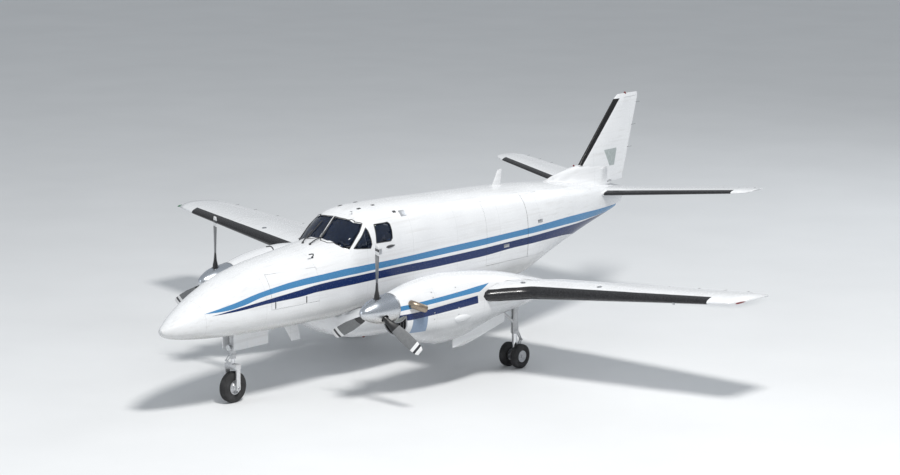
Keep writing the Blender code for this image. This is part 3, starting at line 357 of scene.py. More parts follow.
def spun_metal():
    """The spinner's metal, with a painted reflection: cool grey-blue above and tan below."""
    f = Finish("spun_metal", 0.24, 1.0)
    wear = f.noise(12, 5, (1, 3, 3))
    # Painted reflection: bluish grey towards the top, tan towards the bottom.
    color = f.mix(f.ramp(f.height(), 0.22, -0.20), (0.62, 0.655, 0.71), (0.47, 0.42, 0.345))
    color = f.mix(f.ramp(wear, 0.45, 0.80, 0.0, 0.25), color, (0.46, 0.46, 0.46))
    return f.done(color, f.ramp(wear, 0.3, 0.8, 0.25, 0.31))


def exhaust_finish():
    """Heat-stained steel: straw, brown and blue."""
    f = Finish("heat_stained_steel", 0.38, 0.9)
    heat = f.noise(5.5, 4)
    color = f.mix(f.ramp(heat, 0.35, 0.55), (0.44, 0.375, 0.29), (0.31, 0.245, 0.19))
    color = f.mix(f.ramp(heat, 0.58, 0.75), color, (0.26, 0.27, 0.33))
    return f.done(color, f.ramp(f.noise(40, 4), 0.3, 0.8, 0.28, 0.5), heat, 0.1, 0.001)


def glass_finish():
    f = Finish("tinted_glass", 0.04, 0.0, 0.0)
    f.shader.inputs["Transmission Weight"].default_value = 0.85
    f.shader.inputs["IOR"].default_value = 1.45
    haze = f.noise(14, 3)
    return f.done(f.mix(f.ramp(haze, 0.4, 0.8), (0.045, 0.075, 0.16), (0.07, 0.11, 0.21)),
                  f.ramp(haze, 0.3, 0.8, 0.02, 0.08))


def cloth(name, color):
    f = Finish(name, 0.9)
    weave = f.calc("MULTIPLY", f.calc("SINE", f.calc("MULTIPLY", f.y, 2600.0)),
                   f.calc("SINE", f.calc("MULTIPLY", f.z, 2600.0)))
    worn = f.noise(9, 4)
    shade = f.mix(f.ramp(worn, 0.35, 0.75), color, tuple(c * 1.6 for c in color))
    f.shader.inputs["Sheen Weight"].default_value = 0.3
    return f.done(shade, None, weave, 0.25, 0.0006)


def plastic(name, color, roughness=0.6):
    f = Finish(name, roughness)
    grain = f.noise(180, 3)
    shade = f.mix(f.ramp(f.noise(7, 3), 0.4, 0.8), color, tuple(c * 1.35 for c in color))
    return f.done(shade, f.ramp(grain, 0.3, 0.8, roughness - 0.08, roughness + 0.1), grain, 0.15, 0.0006)


def lamp_glass(name, color, glow=0.0):
    f = Finish(name, 0.08, 0.0, 0.4)
    f.shader.inputs["Transmission Weight"].default_value = 0.35
    f.shader.inputs["Emission Color"].default_value = (*color, 1)
    f.shader.inputs["Emission Strength"].default_value = glow
    ribs = f.calc("PINGPONG", f.z, 0.004)
    return f.done(f.mix(f.ramp(f.noise(40, 2), 0.3, 0.7), color, tuple(c * 0.7 for c in color)), None,
                  ribs, 0.3, 0.002)


FUSELAGE_PAINT = paint("fuselage_paint", fuselage_marks)
NACELLE_PAINT = paint("nacelle_paint", nacelle_marks)
WING_PAINT = paint("wing_paint", boots(WING_EDGE, 0.16, (1.2, 6.42)), "y")
TAIL_PAINT = paint("tailplane_paint", boots(TAIL_EDGE, 0.13, (0.34, 2.92)), "y")
FIN_PAINT = paint("fin_paint", fin_marks)
PLAIN_PAINT = paint("plain_white_paint")
POD_PAINT = paint("pod_paint")
GLASS = glass_finish()
CHROME = metal("polished_steel", (0.80, 0.81, 0.83), 0.10, 1.0, (30, 1, 1), 8, 0.06)
SPUN_METAL = spun_metal()
STEEL = metal("brushed_steel", (0.52, 0.53, 0.55), 0.34)
ALLOY = metal("cast_alloy", (0.62, 0.63, 0.65), 0.42, 0.9)
GEAR_PAINT = metal("gear_paint", (0.66, 0.67, 0.69), 0.36, 0.0)
HEAT = exhaust_finish()
TYRE = rubber("tyre_rubber", (0.022, 0.022, 0.023), 0.75)
SEAL = rubber("window_seal", (0.02, 0.02, 0.022), 0.6)
SEAT_CLOTH = cloth("seat_cloth", (0.035, 0.050, 0.085))
TRIM = plastic("cockpit_trim", (0.045, 0.046, 0.05))
# Near-black painted shade for the insides of the inlet ducts and exhaust stacks.
DARK = plastic("painted_shade_inside", (0.03, 0.03, 0.032), 0.8)
LINING = plastic("cabin_lining", (0.42, 0.42, 0.40), 0.7)


FUSELAGE = [  # station, bottom, top, half width, exponent above, exponent below
    (0.00, -0.045, 0.045, 0.050, 2.0, 2.0), (0.04, -0.085, 0.085, 0.100, 2.0, 2.0),
    (0.15, -0.130, 0.150, 0.175, 2.0, 2.1), (0.35, -0.175, 0.270, 0.285, 2.0, 2.2),
    (0.65, -0.215, 0.425, 0.395, 2.1, 2.4), (1.05, -0.250, 0.600, 0.500, 2.1, 2.6),
    (1.55, -0.280, 0.770, 0.590, 2.2, 2.8), (2.20, -0.300, 0.900, 0.665, 2.3, 2.9),
    (3.00, -0.315, 0.990, 0.720, 2.4, 3.0), (3.60, -0.325, 1.050, 0.745, 2.5, 3.0),
    (4.00, -0.330, 1.100, 0.755, 2.6, 3.0), (4.20, -0.330, 1.280, 0.760, 2.7, 3.0),
    (4.42, -0.330, 1.465, 0.760, 2.8, 3.0), (4.65, -0.330, 1.555, 0.760, 2.8, 3.0),
    (5.00, -0.335, 1.585, 0.760, 2.8, 3.0), (5.80, -0.340, 1.570, 0.760, 2.8, 3.0),
    (7.00, -0.345, 1.520, 0.760, 2.8, 3.0), (8.30, -0.350, 1.465, 0.760, 2.8, 3.0),
    (9.20, -0.345, 1.420, 0.750, 2.8, 3.0), (9.60, -0.255, 1.395, 0.720, 2.7, 2.8),
    (10.06, -0.115, 1.360, 0.670, 2.6, 2.6), (10.80, 0.080, 1.280, 0.560, 2.4, 2.4),
    (11.50, 0.245, 1.180, 0.430, 2.3, 2.3), (12.20, 0.390, 1.070, 0.290, 2.2, 2.2),
    (12.70, 0.500, 0.980, 0.180, 2.2, 2.2), (13.00, 0.570, 0.880, 0.080, 2.0, 2.0)]
NACELLE = [(st, low, high, half, 2.3, 2.15) for st, low, high, half in (
    (3.66, -0.300, 0.395, 0.268), (3.77, -0.365, 0.425, 0.300), (3.90, -0.420, 0.455, 0.340),
    (4.30, -0.560, 0.525, 0.400), (4.70, -0.665, 0.560, 0.435), (5.05, -0.700, 0.565, 0.452),
    (5.40, -0.675, 0.540, 0.462), (5.80, -0.585, 0.500, 0.465), (6.30, -0.460, 0.430, 0.455),
    (6.90, -0.390, 0.310, 0.415), (7.50, -0.310, 0.150, 0.325), (8.10, -0.235, -0.010, 0.180),
    (8.46, -0.165, -0.105, 0.050))]
POD = [(st, low, -0.12, half, 3.0, 3.0) for st, low, half in (
    (3.50, -0.36, 0.20), (3.75, -0.52, 0.42), (4.15, -0.70, 0.56), (4.70, -0.84, 0.62),
    (5.60, -0.90, 0.64), (6.60, -0.90, 0.64), (7.20, -0.83, 0.58), (7.80, -0.63, 0.44),
    (8.30, -0.38, 0.22))]
SPINNER = [(PROP_ST - s, PROP_WL - r, PROP_WL + r, r, 2.0, 2.0) for r, s in (
    (0.004, 0.419), (0.028, 0.411), (0.055, 0.395), (0.105, 0.34), (0.165, 0.22), (0.215, 0.08),
    (0.245, -0.10), (0.262, -0.318))]
WING = [  # span station, leading edge st, leading edge wl, chord, thickness, incidence
    (0.00, 5.70, -0.120, 2.75, 0.135, 4.8), (0.76, 5.70, -0.050, 2.75, 0.135, 4.8),
    (2.45, 5.72, 0.090, 2.72, 0.135, 4.3), (2.95, 6.32, 0.120, 2.12, 0.165, 4.0),
    (4.90, 6.74, 0.250, 1.62, 0.145, 2.0), (6.60, 7.12, 0.360, 1.19, 0.125, 0.2),
    (6.90, 7.21, 0.382, 1.08, 0.110, 0.0), (6.99, 7.40, 0.388, 0.78, 0.050, 0.0)]
TAILPLANE = [(0.00, 11.97, 0.885, 1.22, 0.11, 0.0), (0.30, 12.02, 0.900, 1.18, 0.11, 0.0),
             (3.05, 12.82, 1.160, 0.76, 0.10, 0.0), (3.20, 12.95, 1.172, 0.60, 0.05, 0.0)]
FIN = [  # water line, leading edge st, chord, thickness
    (1.10, 11.28, 1.80, 0.10), (1.50, 11.62, 1.60, 0.10), (2.74, 12.76, 0.80, 0.09),
    (2.82, 12.88, 0.66, 0.05)]


class Curve:
    """Monotone cubic through one column of a table, against its first column."""

    def __init__(self, table, column):
        self.xs = [row[0] for row in table]
        self.ys = [row[column] for row in table]
        steps = [(self.ys[i + 1] - self.ys[i]) / (self.xs[i + 1] - self.xs[i])
                 for i in range(len(table) - 1)]
        self.slopes = [steps[0]]
        for a, b in zip(steps, steps[1:]):
            self.slopes.append(0.0 if a * b <= 0 else 2 * a * b / (a + b))
        self.slopes.append(steps[-1])

    def __call__(self, value):
        xs, ys = self.xs, self.ys
        if value <= xs[0] or value >= xs[-1]:
            return ys[0] if value <= xs[0] else ys[-1]
        i = bisect.bisect_right(xs, value) - 1
        h = xs[i + 1] - xs[i]
        t = (value - xs[i]) / h
        return (ys[i] * (1 + 2 * t) * (1 - t) ** 2 + self.slopes[i] * h * t * (1 - t) ** 2
                + ys[i + 1] * t * t * (3 - 2 * t) + self.slopes[i + 1] * h * t * t * (t - 1))


def line(table, column, value):
    """Straight lines through one column of a table."""
    return float(np.interp(value, [row[0] for row in table], [row[column] for row in table]))


class Hull:
    """A rounded body along X: fuselage, nacelle, pod or spinner."""

    def __init__(self, table, side=0.0, waist=0.5):
        self.table, self.side, self.waist = table, side, waist
        self.curves = [Curve(table, c) for c in range(1, 6)]
        self.known = {}

    def section(self, st):
        """Bottom, top, half width, exponents and waist height at a station."""
        key = round(st, 5)
        if key not in self.known:
            low, high, half, above, below = (curve(st) for curve in self.curves)
            self.known[key] = low, high, half, above, below, low + self.waist * (high - low)
        return self.known[key]

    def level(self, st, y, wl):
        """0 at the middle line and 1 on the skin."""
        low, high, half, above, below, middle = self.section(st)
        n = above if wl > middle else below
        reach = high - middle if wl > middle else middle - low
        across, rise = abs(y - self.side) / half, abs(wl - middle) / reach
        return (across ** n + rise ** n) ** (1 / n), middle

    def snap(self, co):
        """The nearest spot on the skin, how far it is, and the direction out of it."""
        st, y, wl = NOSE_X - co.x, co.y, co.z - NOSE_WL
        st = min(max(st, self.table[0][0]), self.table[-1][0])
        k, middle = self.level(st, y, wl)
        k = max(k, 1e-6)
        spot = Vector((co.x, self.side + (y - self.side) / k, NOSE_WL + middle + (wl - middle) / k))
        y, wl, d = spot.y, spot.z - NOSE_WL, 0.004
        out = Vector((self.level(st - d, y, wl)[0] - self.level(st + d, y, wl)[0],
                      self.level(st, y + d, wl)[0] - self.level(st, y - d, wl)[0],
                      self.level(st, y, wl + d)[0] - self.level(st, y, wl - d)[0]))
        return spot, (spot - co).length, out.normalized()

    def top(self, st, y, rise=0.0):
        """A spot on the upper skin at a station and a side distance."""
        low, high, half, above, _, middle = self.section(st)
        up = (high - middle) * (1 - abs((y - self.side) / half) ** above) ** (1 / above)
        spot = at(st, y, middle + up)
        return spot + self.snap(spot)[2] * rise

    def flank(self, st, wl, side=1, rise=0.0):
        """A spot on the side skin at a station and a water line."""
        low, high, half, above, below, middle = self.section(st)
        n, reach = (above, high - middle) if wl > middle else (below, middle - low)
        out = half * (1 - min(1.0, abs(wl - middle) / reach) ** n) ** (1 / n)
        spot = at(st, self.side + side * out, wl)
        return spot + self.snap(spot)[2] * rise


class Foil:
    """A wing, tailplane or fin, from its leading edge and chord at each span station."""

    def __init__(self, table, upright=False):
        self.table, self.upright, self.known = table, upright, {}

    def place(self, span, turns, side):
        """Spots on the skin at a span station, for turns from -pi to pi round the nose."""
        key = round(span, 5)
        if key not in self.known:
            self.known[key] = [line(self.table, c, span) for c in range(1, len(self.table[0]))]
        x = (1 - np.cos(turns)) / 2
        if self.upright:
            le, chord, thick = self.known[key]
        else:
            le, wl, chord, thick, tilt = self.known[key]
        half = 5 * thick * (0.2969 * np.sqrt(x) - 0.126 * x - 0.3516 * x * x
                            + 0.2843 * x ** 3 - 0.1036 * x ** 4) + 0.0015 * x
        z = np.sign(turns) * half
        if self.upright:
            return np.stack((NOSE_X - le - x * chord, z * chord, NOSE_WL + span + 0 * x), -1)
        z = z + 0.018 * (1 - ((x - 0.3) / np.where(x < 0.3, 0.3, 0.7)) ** 2)
        a = math.radians(tilt)
        aft, rise = x * chord, z * chord
        return np.stack((NOSE_X - le - aft * math.cos(a) - rise * math.sin(a), side * span + 0 * x,
                         NOSE_WL + wl - aft * math.sin(a) + rise * math.cos(a)), -1)

    def snap(self, co):
        """The nearest spot on the skin, how far it is, and the direction out of it."""
        span, side = (co.z - NOSE_WL, 1) if self.upright else (abs(co.y), 1 if co.y > 0 else -1)
        span = min(max(span, self.table[0][0]), self.table[-1][0])
        first, last, here = -math.pi, math.pi, np.array(co)
        for count in (160, 40):
            turns = np.linspace(first, last, count)
            spots = self.place(span, turns, side)
            gaps = ((spots - here) ** 2).sum(1)
            k = int(gaps.argmin())
            first, last = turns[max(0, k - 1)], turns[min(count - 1, k + 1)]
        turn, spot = turns[k], Vector(spots[k])
        low, high = max(span - 0.01, self.table[0][0]), min(span + 0.01, self.table[-1][0])
        one = np.array([turn])
        along = Vector(self.place(high, one, side)[0] - self.place(low, one, side)[0])
        pair = self.place(span, np.array([min(turn + 0.01, math.pi), max(turn - 0.01, -math.pi)]), side)
        out = along.cross(Vector(pair[0] - pair[1])).normalized()
        reach = min(max(abs(turn), 0.5), 2.6)
        ends = self.place(span, np.array([reach, -reach]), side)
        if out.dot(spot - Vector((ends[0] + ends[1]) / 2)) < 0:
            out.negate()
        return spot, math.sqrt(gaps[k]), out


FUSELAGE_HULL = Hull(FUSELAGE, waist=0.46)
WING_FOIL, TAIL_FOIL, FIN_FOIL = Foil(WING), Foil(TAILPLANE), Foil(FIN, True)


def surface(ob, smooth=32):
    ob.data.shade_smooth()
    ob.data.set_sharp_from_angle(angle=math.radians(smooth))


def piece(name, bm, material, body, replaces=(), smooth=32, merge=0.00002):
    """Finish a bmesh as a piece of the airliner that rides on a body."""
    bmesh.ops.remove_doubles(bm, verts=bm.verts, dist=merge)
    bmesh.ops.recalc_face_normals(bm, faces=bm.faces)
    mesh = bpy.data.meshes.new(name)
    bm.to_mesh(mesh)
    bm.free()
    for entry in (material if isinstance(material, (list, tuple)) else [material]):
        mesh.materials.append(entry)
    ob = bpy.data.objects.new(name, mesh)
    scene.collection.objects.link(ob)
    surface(ob, smooth)
    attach(ob, body)
    if replaces:
        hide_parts(*replaces)
    return ob


def merged(node):
    """A CAD node's own mesh with its doubles merged."""
    bm = bmesh.new()
    bm.from_mesh(nodes[node].data)
    bmesh.ops.remove_doubles(bm, verts=bm.verts, dist=0.00002)
    bmesh.ops.recalc_face_normals(bm, faces=bm.faces)
    return bm


def dress(node, material, body, smooth=32):
    """A CAD node's own shape, shaded smooth, in its place."""
    return piece(node + "_skin", merged(node), material, body, (node,), smooth)


def dress_fine(node, form, materials, body, longest=0.10, near=0.03, level=0.75, depth=0.045):
    """A CAD node whose faceted skin is split up and laid on the true curve it stands for.

    The skin takes the first material, and what lies inside takes the second."""
    bm = merged(node)

    skin = bm.faces.layers.int.new("skin")
    for face in bm.faces:
        _, gap, out = form.snap(face.calc_center_median())
        facing = face.normal.dot(out)
        face[skin] = 1 if gap < near and facing > level else 0
        face.material_index = 1 if gap > depth or facing < -0.5 else 0
    for _ in range(7):
        long = [e for e in bm.edges if e.calc_length() > longest and any(f[skin] for f in e.link_faces)]
        if not long:
            break
        bmesh.ops.subdivide_edges(bm, edges=long, cuts=1)
        bmesh.ops.triangulate(bm, faces=[f for f in bm.faces if len(f.verts) > 3])
    for vert in {v for f in bm.faces if f[skin] for v in f.verts}:
        spot, gap, out = form.snap(vert.co)
        if gap < near:
            vert.co = spot
    bm.normal_update()
    ob = piece(node + "_skin", bm, materials, body, (node,), 32)
    mesh = ob.data
    mark = mesh.attributes["skin"].data
    normals = [c.vector.copy() for c in mesh.corner_normals]
    outward = {}
    for poly in mesh.polygons:
        if not mark[poly.index].value:
            continue
        for corner in poly.loop_indices:
            index = mesh.loops[corner].vertex_index
            if index not in outward:
                outward[index] = form.snap(mesh.vertices[index].co)[2]
            if outward[index].dot(poly.normal) > 0.5:
                normals[corner] = outward[index]
    mesh.normals_split_custom_set(normals)
    mesh.attributes.remove(mesh.attributes["skin"])
    return ob


BAY = metal("bay_primer", (0.33, 0.35, 0.33), 0.5, 0.0)
for node, body in (("fuselage_nose", "airframe"), ("fuselage_cabin", "airframe"),
                   ("fuselage_tail", "airframe"), ("airstair_door", "airstair_door"),
                   ("cargo_door", "cargo_door"), ("nose_baggage_door_left", "nose_baggage_door_left"),
                   ("nose_baggage_door_right", "nose_baggage_door_right")):
    inner = {"fuselage_nose": BAY, "fuselage_tail": FUSELAGE_PAINT}.get(node, LINING)
    dress_fine(node, FUSELAGE_HULL, [FUSELAGE_PAINT, inner], body)
dress_fine("cargo_pod", Hull(POD, waist=1.0), [POD_PAINT, PLAIN_PAINT], "airframe", 0.12)
dress_fine("wing_center", WING_FOIL, [WING_PAINT, BAY], "airframe", 0.30, 0.03, 0.45)
dress_fine("tailplane", TAIL_FOIL, [TAIL_PAINT, PLAIN_PAINT], "airframe", 0.30, 0.02, 0.45)
dress_fine("fin", FIN_FOIL, [FIN_PAINT, PLAIN_PAINT], "airframe", 0.30, 0.02, 0.45)
dress("rudder", PLAIN_PAINT, "rudder")
for side, word in SIDES:
    nacelle = Hull(NACELLE, side * ENGINE_Y)
    dress_fine("nacelle_" + word, nacelle, [NACELLE_PAINT, BAY], "airframe", 0.08)
    dress_fine("wing_" + word, WING_FOIL, [WING_PAINT, PLAIN_PAINT], "airframe", 0.30, 0.03,
               0.45)
    for name in ("flap_inner_", "flap_outer_", "aileron_", "elevator_"):
        dress(name + word, PLAIN_PAINT, name + word)
    for pane in ("windshield_", "quarter_window_", "side_window_"):
        dress(pane + word, GLASS, "airframe")
    dress_fine("spinner_" + word, Hull(SPINNER, side * ENGINE_Y), [SPUN_METAL, STEEL], "prop_" + word,
               0.03, 0.03, 0.6)
    dress("propeller_" + word, blade_finish("blade_paint_" + word, side), "prop_" + word, 40)
    dress("engine_" + word, STEEL, "airframe")
    dress("main_gear_leg_" + word, GEAR_PAINT, "airframe")
    dress("main_hubs_" + word, ALLOY, "main_wheels_" + word)
    dress("seat_" + word, SEAT_CLOTH, "airframe")
    dress("nose_gear_door_" + word, PLAIN_PAINT, "airframe")
    for place in ("outer", "inner"):
        dress(f"main_gear_door_{word}_{place}", PLAIN_PAINT, "airframe")
dress("instrument_panel", TRIM, "airframe")
dress("nose_gear_leg", GEAR_PAINT, "airframe")
dress("nose_gear_fork", GEAR_PAINT, "nose_fork")
dress("nose_hub", ALLOY, "nose_wheel")

# Shapes for the small pieces
def lofted(rings, caps=True, closed=False):
    """Bridge a row of equal rings of points into one skin."""
    bm = bmesh.new()
    loops = []
    for ring in rings:
        verts = [bm.verts.new(p) for p in ring]
        loops.append([bm.edges.new((verts[i - 1], verts[i])) for i in range(len(verts))])
    for a, b in zip(loops, loops[1:] + (loops[:1] if closed else [])):
        bmesh.ops.bridge_loops(bm, edges=a + b)
    if caps and not closed:
        for ends in (loops[0], loops[-1]):
            bmesh.ops.contextual_create(bm, geom=ends)
    return bm


def revolved(profile, centre, axis, steps=48, closed=False):
    """Spin a (radius, along) outline round an axis through centre."""
    axis = Vector(axis).normalized()
    side = axis.orthogonal().normalized()
    bm = bmesh.new()
    verts = [bm.verts.new(Vector(centre) + side * r + axis * s) for r, s in profile]
    pairs = list(zip(verts, verts[1:])) + ([(verts[-1], verts[0])] if closed else [])
    edges = [bm.edges.new(pair) for pair in pairs]
    bmesh.ops.spin(bm, geom=verts + edges, cent=centre, axis=axis, angle=2 * math.pi, steps=steps,
                   use_merge=True)
    return bm


def tube(points, radius, sides=8, closed=False, flat=1.0, up=Vector((0, 0, 1))):
    """A round or flattened rod through a row of points."""
    points = [Vector(p) for p in points]
    rings, count = [], len(points)
    for i, p in enumerate(points):
        ahead = points[(i + 1) % count] if closed or i < count - 1 else p
        behind = points[i - 1] if closed or i > 0 else p
        way = (ahead - behind).normalized()
        first = way.cross(up)
        first = (first if first.length > 0.05 else way.cross(Vector((1, 0, 0)))).normalized()
        second = first.cross(way)
        rings.append([p + first * radius * math.cos(t) + second * radius * flat * math.sin(t)
                      for t in (2 * math.pi * k / sides for k in range(sides))])
    return lofted(rings, True, closed)


def block(size, centre, bevel=0.004, turn=None, segments=2):
    """A rounded block about a centre."""
    bm = bmesh.new()
    place = Matrix.Translation(centre) @ (turn or Matrix.Identity(4)) @ Matrix.Diagonal((*size, 1))
    bmesh.ops.create_cube(bm, size=1.0, matrix=place)
    bmesh.ops.bevel(bm, geom=bm.edges[:], offset=bevel, segments=segments, affect="EDGES",
                    profile=0.5, material=-1)
    return bm


def stud(radius, height, centre, axis, sides=6):
    """A bolt head or short pin standing on a surface."""
    bm = bmesh.new()
    turn = Vector(axis).to_track_quat("Z", "Y").to_matrix().to_4x4()
    bmesh.ops.create_cone(bm, cap_ends=True, segments=sides, radius1=radius, radius2=radius * 0.9,
                          depth=height, matrix=Matrix.Translation(centre) @ turn)
    return bm


def smooth_path(points, steps):
    """More points along a curve through every given one."""
    out = []
    for i, (a, b) in enumerate(zip(points, points[1:])):
        before = points[max(0, i - 1)]
        after = points[min(len(points) - 1, i + 2)]
        for k in range(steps):
            t = k / steps
            out.append(0.5 * (2 * a + (b - before) * t + (2 * before - 5 * a + 4 * b - after) * t * t
                              + (3 * a - before - 3 * b + after) * t ** 3))
    return out + [points[-1]]


def pipe_with_mouth(path, radius, wall, deep, sides=28):
    """A round pipe with a solid root and an open end of a given depth; also the end's direction."""
    rings, first = [], None
    tip = (path[-1] - path[-2]).normalized()
    for i, p in enumerate(path):
        way = (path[min(i + 1, len(path) - 1)] - path[max(i - 1, 0)]).normalized()
        first = way.cross(Vector((0, 0, 1)) if first is None else first.cross(way)).normalized()
        if first.length < 0.5:
            first = way.orthogonal().normalized()
        second = first.cross(way)
        rings.append([first * math.cos(a) + second * math.sin(a) for a in
                      (2 * math.pi * k / sides for k in range(sides))])
    skin = [[p + spoke * radius for spoke in ring] for p, ring in zip(path, rings)]
    end = rings[-1]
    skin.append([path[-1] + tip * 0.002 + spoke * (radius - wall * 0.4) for spoke in end])
    for back in (0.0, deep * 0.5, deep):
        skin.append([path[-1] - tip * back + spoke * (radius - wall) for spoke in end])
    return lofted(skin), tip


def joined(parts):
    """Several shapes as one."""
    whole = bmesh.new()
    for bm in parts:
        mesh = bpy.data.meshes.new("part")
        bm.to_mesh(mesh)
        bm.free()
        whole.from_mesh(mesh)
        bpy.data.meshes.remove(mesh)
    return whole


def facing(way, up=Vector((0, 0, 1))):
    """A turn whose Z looks along way."""
    z = Vector(way).normalized()
    x = Vector(up).cross(z)
    x = (x if x.length > 0.01 else Vector((0, 1, 0))).normalized()
    return Matrix((x, z.cross(x), z)).transposed().to_4x4()


def teardrop(nose, tail, half, rise, out, steps=9, sides=16):
    """A streamlined blister from nose to tail, swelling to half wide and rise tall."""
    nose, tail, out = Vector(nose), Vector(tail), Vector(out).normalized()
    across = (tail - nose).cross(out).normalized()
    rings = []
    for k in range(steps + 1):
        t = 0.01 + 0.98 * k / steps
        swell = (t ** 0.5) * (1 - t) ** 0.8 / 0.5
        mid = nose.lerp(tail, t)
        rings.append([mid + across * half * swell * math.cos(a) + out * rise * swell * math.sin(a)
                      for a in (2 * math.pi * j / sides for j in range(sides))])
    return lofted(rings)


def blade_antenna(base_fore, base_aft, tip_fore, tip_aft, thick):
    """An upright blade on the centre line between four (st, wl) corners."""
    rings = []
    for t in (0.0, 0.35, 0.7, 0.93, 1.0):
        fore = [a + (b - a) * t for a, b in zip(base_fore, tip_fore)]
        aft = [a + (b - a) * t for a, b in zip(base_aft, tip_aft)]
        half = thick / 2 * (1 - 0.35 * t) * (0.55 if t == 1.0 else 1.0)
        ring = []
        for k in range(16):
            turn = 2 * math.pi * k / 16
            along = (1 - math.cos(turn)) / 2
            wide = half * math.sin(turn) * (1.25 - 0.5 * along)
            ring.append(at(fore[0] + (aft[0] - fore[0]) * along, wide, fore[1] + (aft[1] - fore[1]) * along))
        rings.append(ring)
    return lofted(rings)


def rim(node, form, lift=0.0, pitch=0.03):
    """The outer edge of a pane or door, laid on the curve it sits in."""
    bm = merged(node)
    outer = {f for f in bm.faces if f.normal.dot(form.snap(f.calc_center_median())[2]) > 0.9}
    ways = {}
    for edge in bm.edges:
        if sum(f in outer for f in edge.link_faces) == 1:
            a, b = edge.verts
            ways.setdefault(a, []).append(b)
            ways.setdefault(b, []).append(a)
    best = []
    while ways:
        path = [next(iter(ways))]
        while path[-1] in ways:
            onward = [v for v in ways.pop(path[-1]) if v in ways]
            if not onward:
                break
            path.append(onward[0])
        if len(path) > len(best):
            best = path
    corners = [v.co.copy() for v in best]
    bm.free()
    spots = []
    for a, b in zip(corners, corners[1:] + corners[:1]):
        steps = max(1, round((b - a).length / pitch))
        spots += [a.lerp(b, k / steps) for k in range(steps)]
    return [form.snap(p)[0] + form.snap(p)[2] * lift for p in spots]


# Window surrounds, and seals in the door gaps
for side, word in SIDES:
    for pane in ("windshield_", "quarter_window_", "side_window_"):
        edge = rim(pane + word, FUSELAGE_HULL, -0.001, 0.02)
        piece(pane + word + "_seal", tube(edge, 0.009, 8, True), SEAL, "airframe")
for node, body in (("airstair_door", "airstair_door"), ("cargo_door", "cargo_door"),
                   ("nose_baggage_door_left", "nose_baggage_door_left"),
                   ("nose_baggage_door_right", "nose_baggage_door_right")):
    piece(node + "_seal", tube(rim(node, FUSELAGE_HULL, -0.007, 0.04), 0.0045, 6, True), SEAL, body)

# Door handles and latches
for name, st, wl, body, side in (("airstair_handle", 9.53, 0.75, "airstair_door", 1),
                                 ("cargo_handle", 8.45, 0.42, "cargo_door", 1)):
    spot, _, out = FUSELAGE_HULL.snap(FUSELAGE_HULL.flank(st, wl, side))
    turn = facing(out)
    piece(name, joined([block((0.16, 0.065, 0.006), spot + out * 0.001, 0.0028, turn),
                        block((0.12, 0.022, 0.012), spot + out * 0.008, 0.005, turn)]),
          STEEL, body)
for side, word in SIDES:
    for k, st in enumerate((2.16, 2.90)):
        spot, _, out = FUSELAGE_HULL.snap(FUSELAGE_HULL.flank(st, 0.235, side))
        turn = facing(out)
        piece(f"nose_latch_{word}_{k}", joined([
            block((0.022, 0.115, 0.005), spot + out * 0.001, 0.0022, turn),
            block((0.010, 0.070, 0.006), spot + out * 0.005, 0.0024, turn)]),
            TRIM, "nose_baggage_door_" + word)

# Antennas, beacons, lights and probes
piece("roof_antenna", blade_antenna((8.90, 1.425), (9.16, 1.415), (9.07, 1.73), (9.20, 1.735), 0.035),
      PLAIN_PAINT, "airframe")
piece("belly_antenna", blade_antenna((3.00, -0.30), (3.40, -0.31), (3.26, -0.69), (3.50, -0.69), 0.045),
      PLAIN_PAINT, "airframe")
piece("roof_antenna_foot", teardrop(FUSELAGE_HULL.top(8.82, 0), FUSELAGE_HULL.top(9.26, 0), 0.035, 0.012,
                                    (0, 0, 1)), PLAIN_PAINT, "airframe")
RED = lamp_glass("red_lamp", (0.26, 0.012, 0.012), 0.05)
GREEN = lamp_glass("green_lamp", (0.01, 0.20, 0.07), 0.05)
CLEAR = lamp_glass("clear_lamp", (0.75, 0.78, 0.80), 0.1)
dome = [(0, 0.055), (0.020, 0.052), (0.032, 0.040), (0.038, 0.020), (0.040, 0.0), (0.046, -0.002),
        (0.046, -0.012), (0, -0.012)]
for name, spot, axis, size in (("fin_beacon", at(13.14, 0, 2.818), (0, 0, 1), 0.62),
                               ("dorsal_beacon", at(11.48, 0, 1.512), (0, 0, 1), 0.45),
                               ("belly_beacon", at(5.2, 0, -0.905), (0, 0, -1), 0.9)):
    piece(name, revolved([(r * size, s * size) for r, s in dome], spot, axis, 24), RED, "airframe")
piece("tail_lamp", revolved([(r * 0.7, s * 0.7) for r, s in dome], at(13.0, 0, 0.725), (-1, 0, 0), 24),
      CLEAR, "airframe")
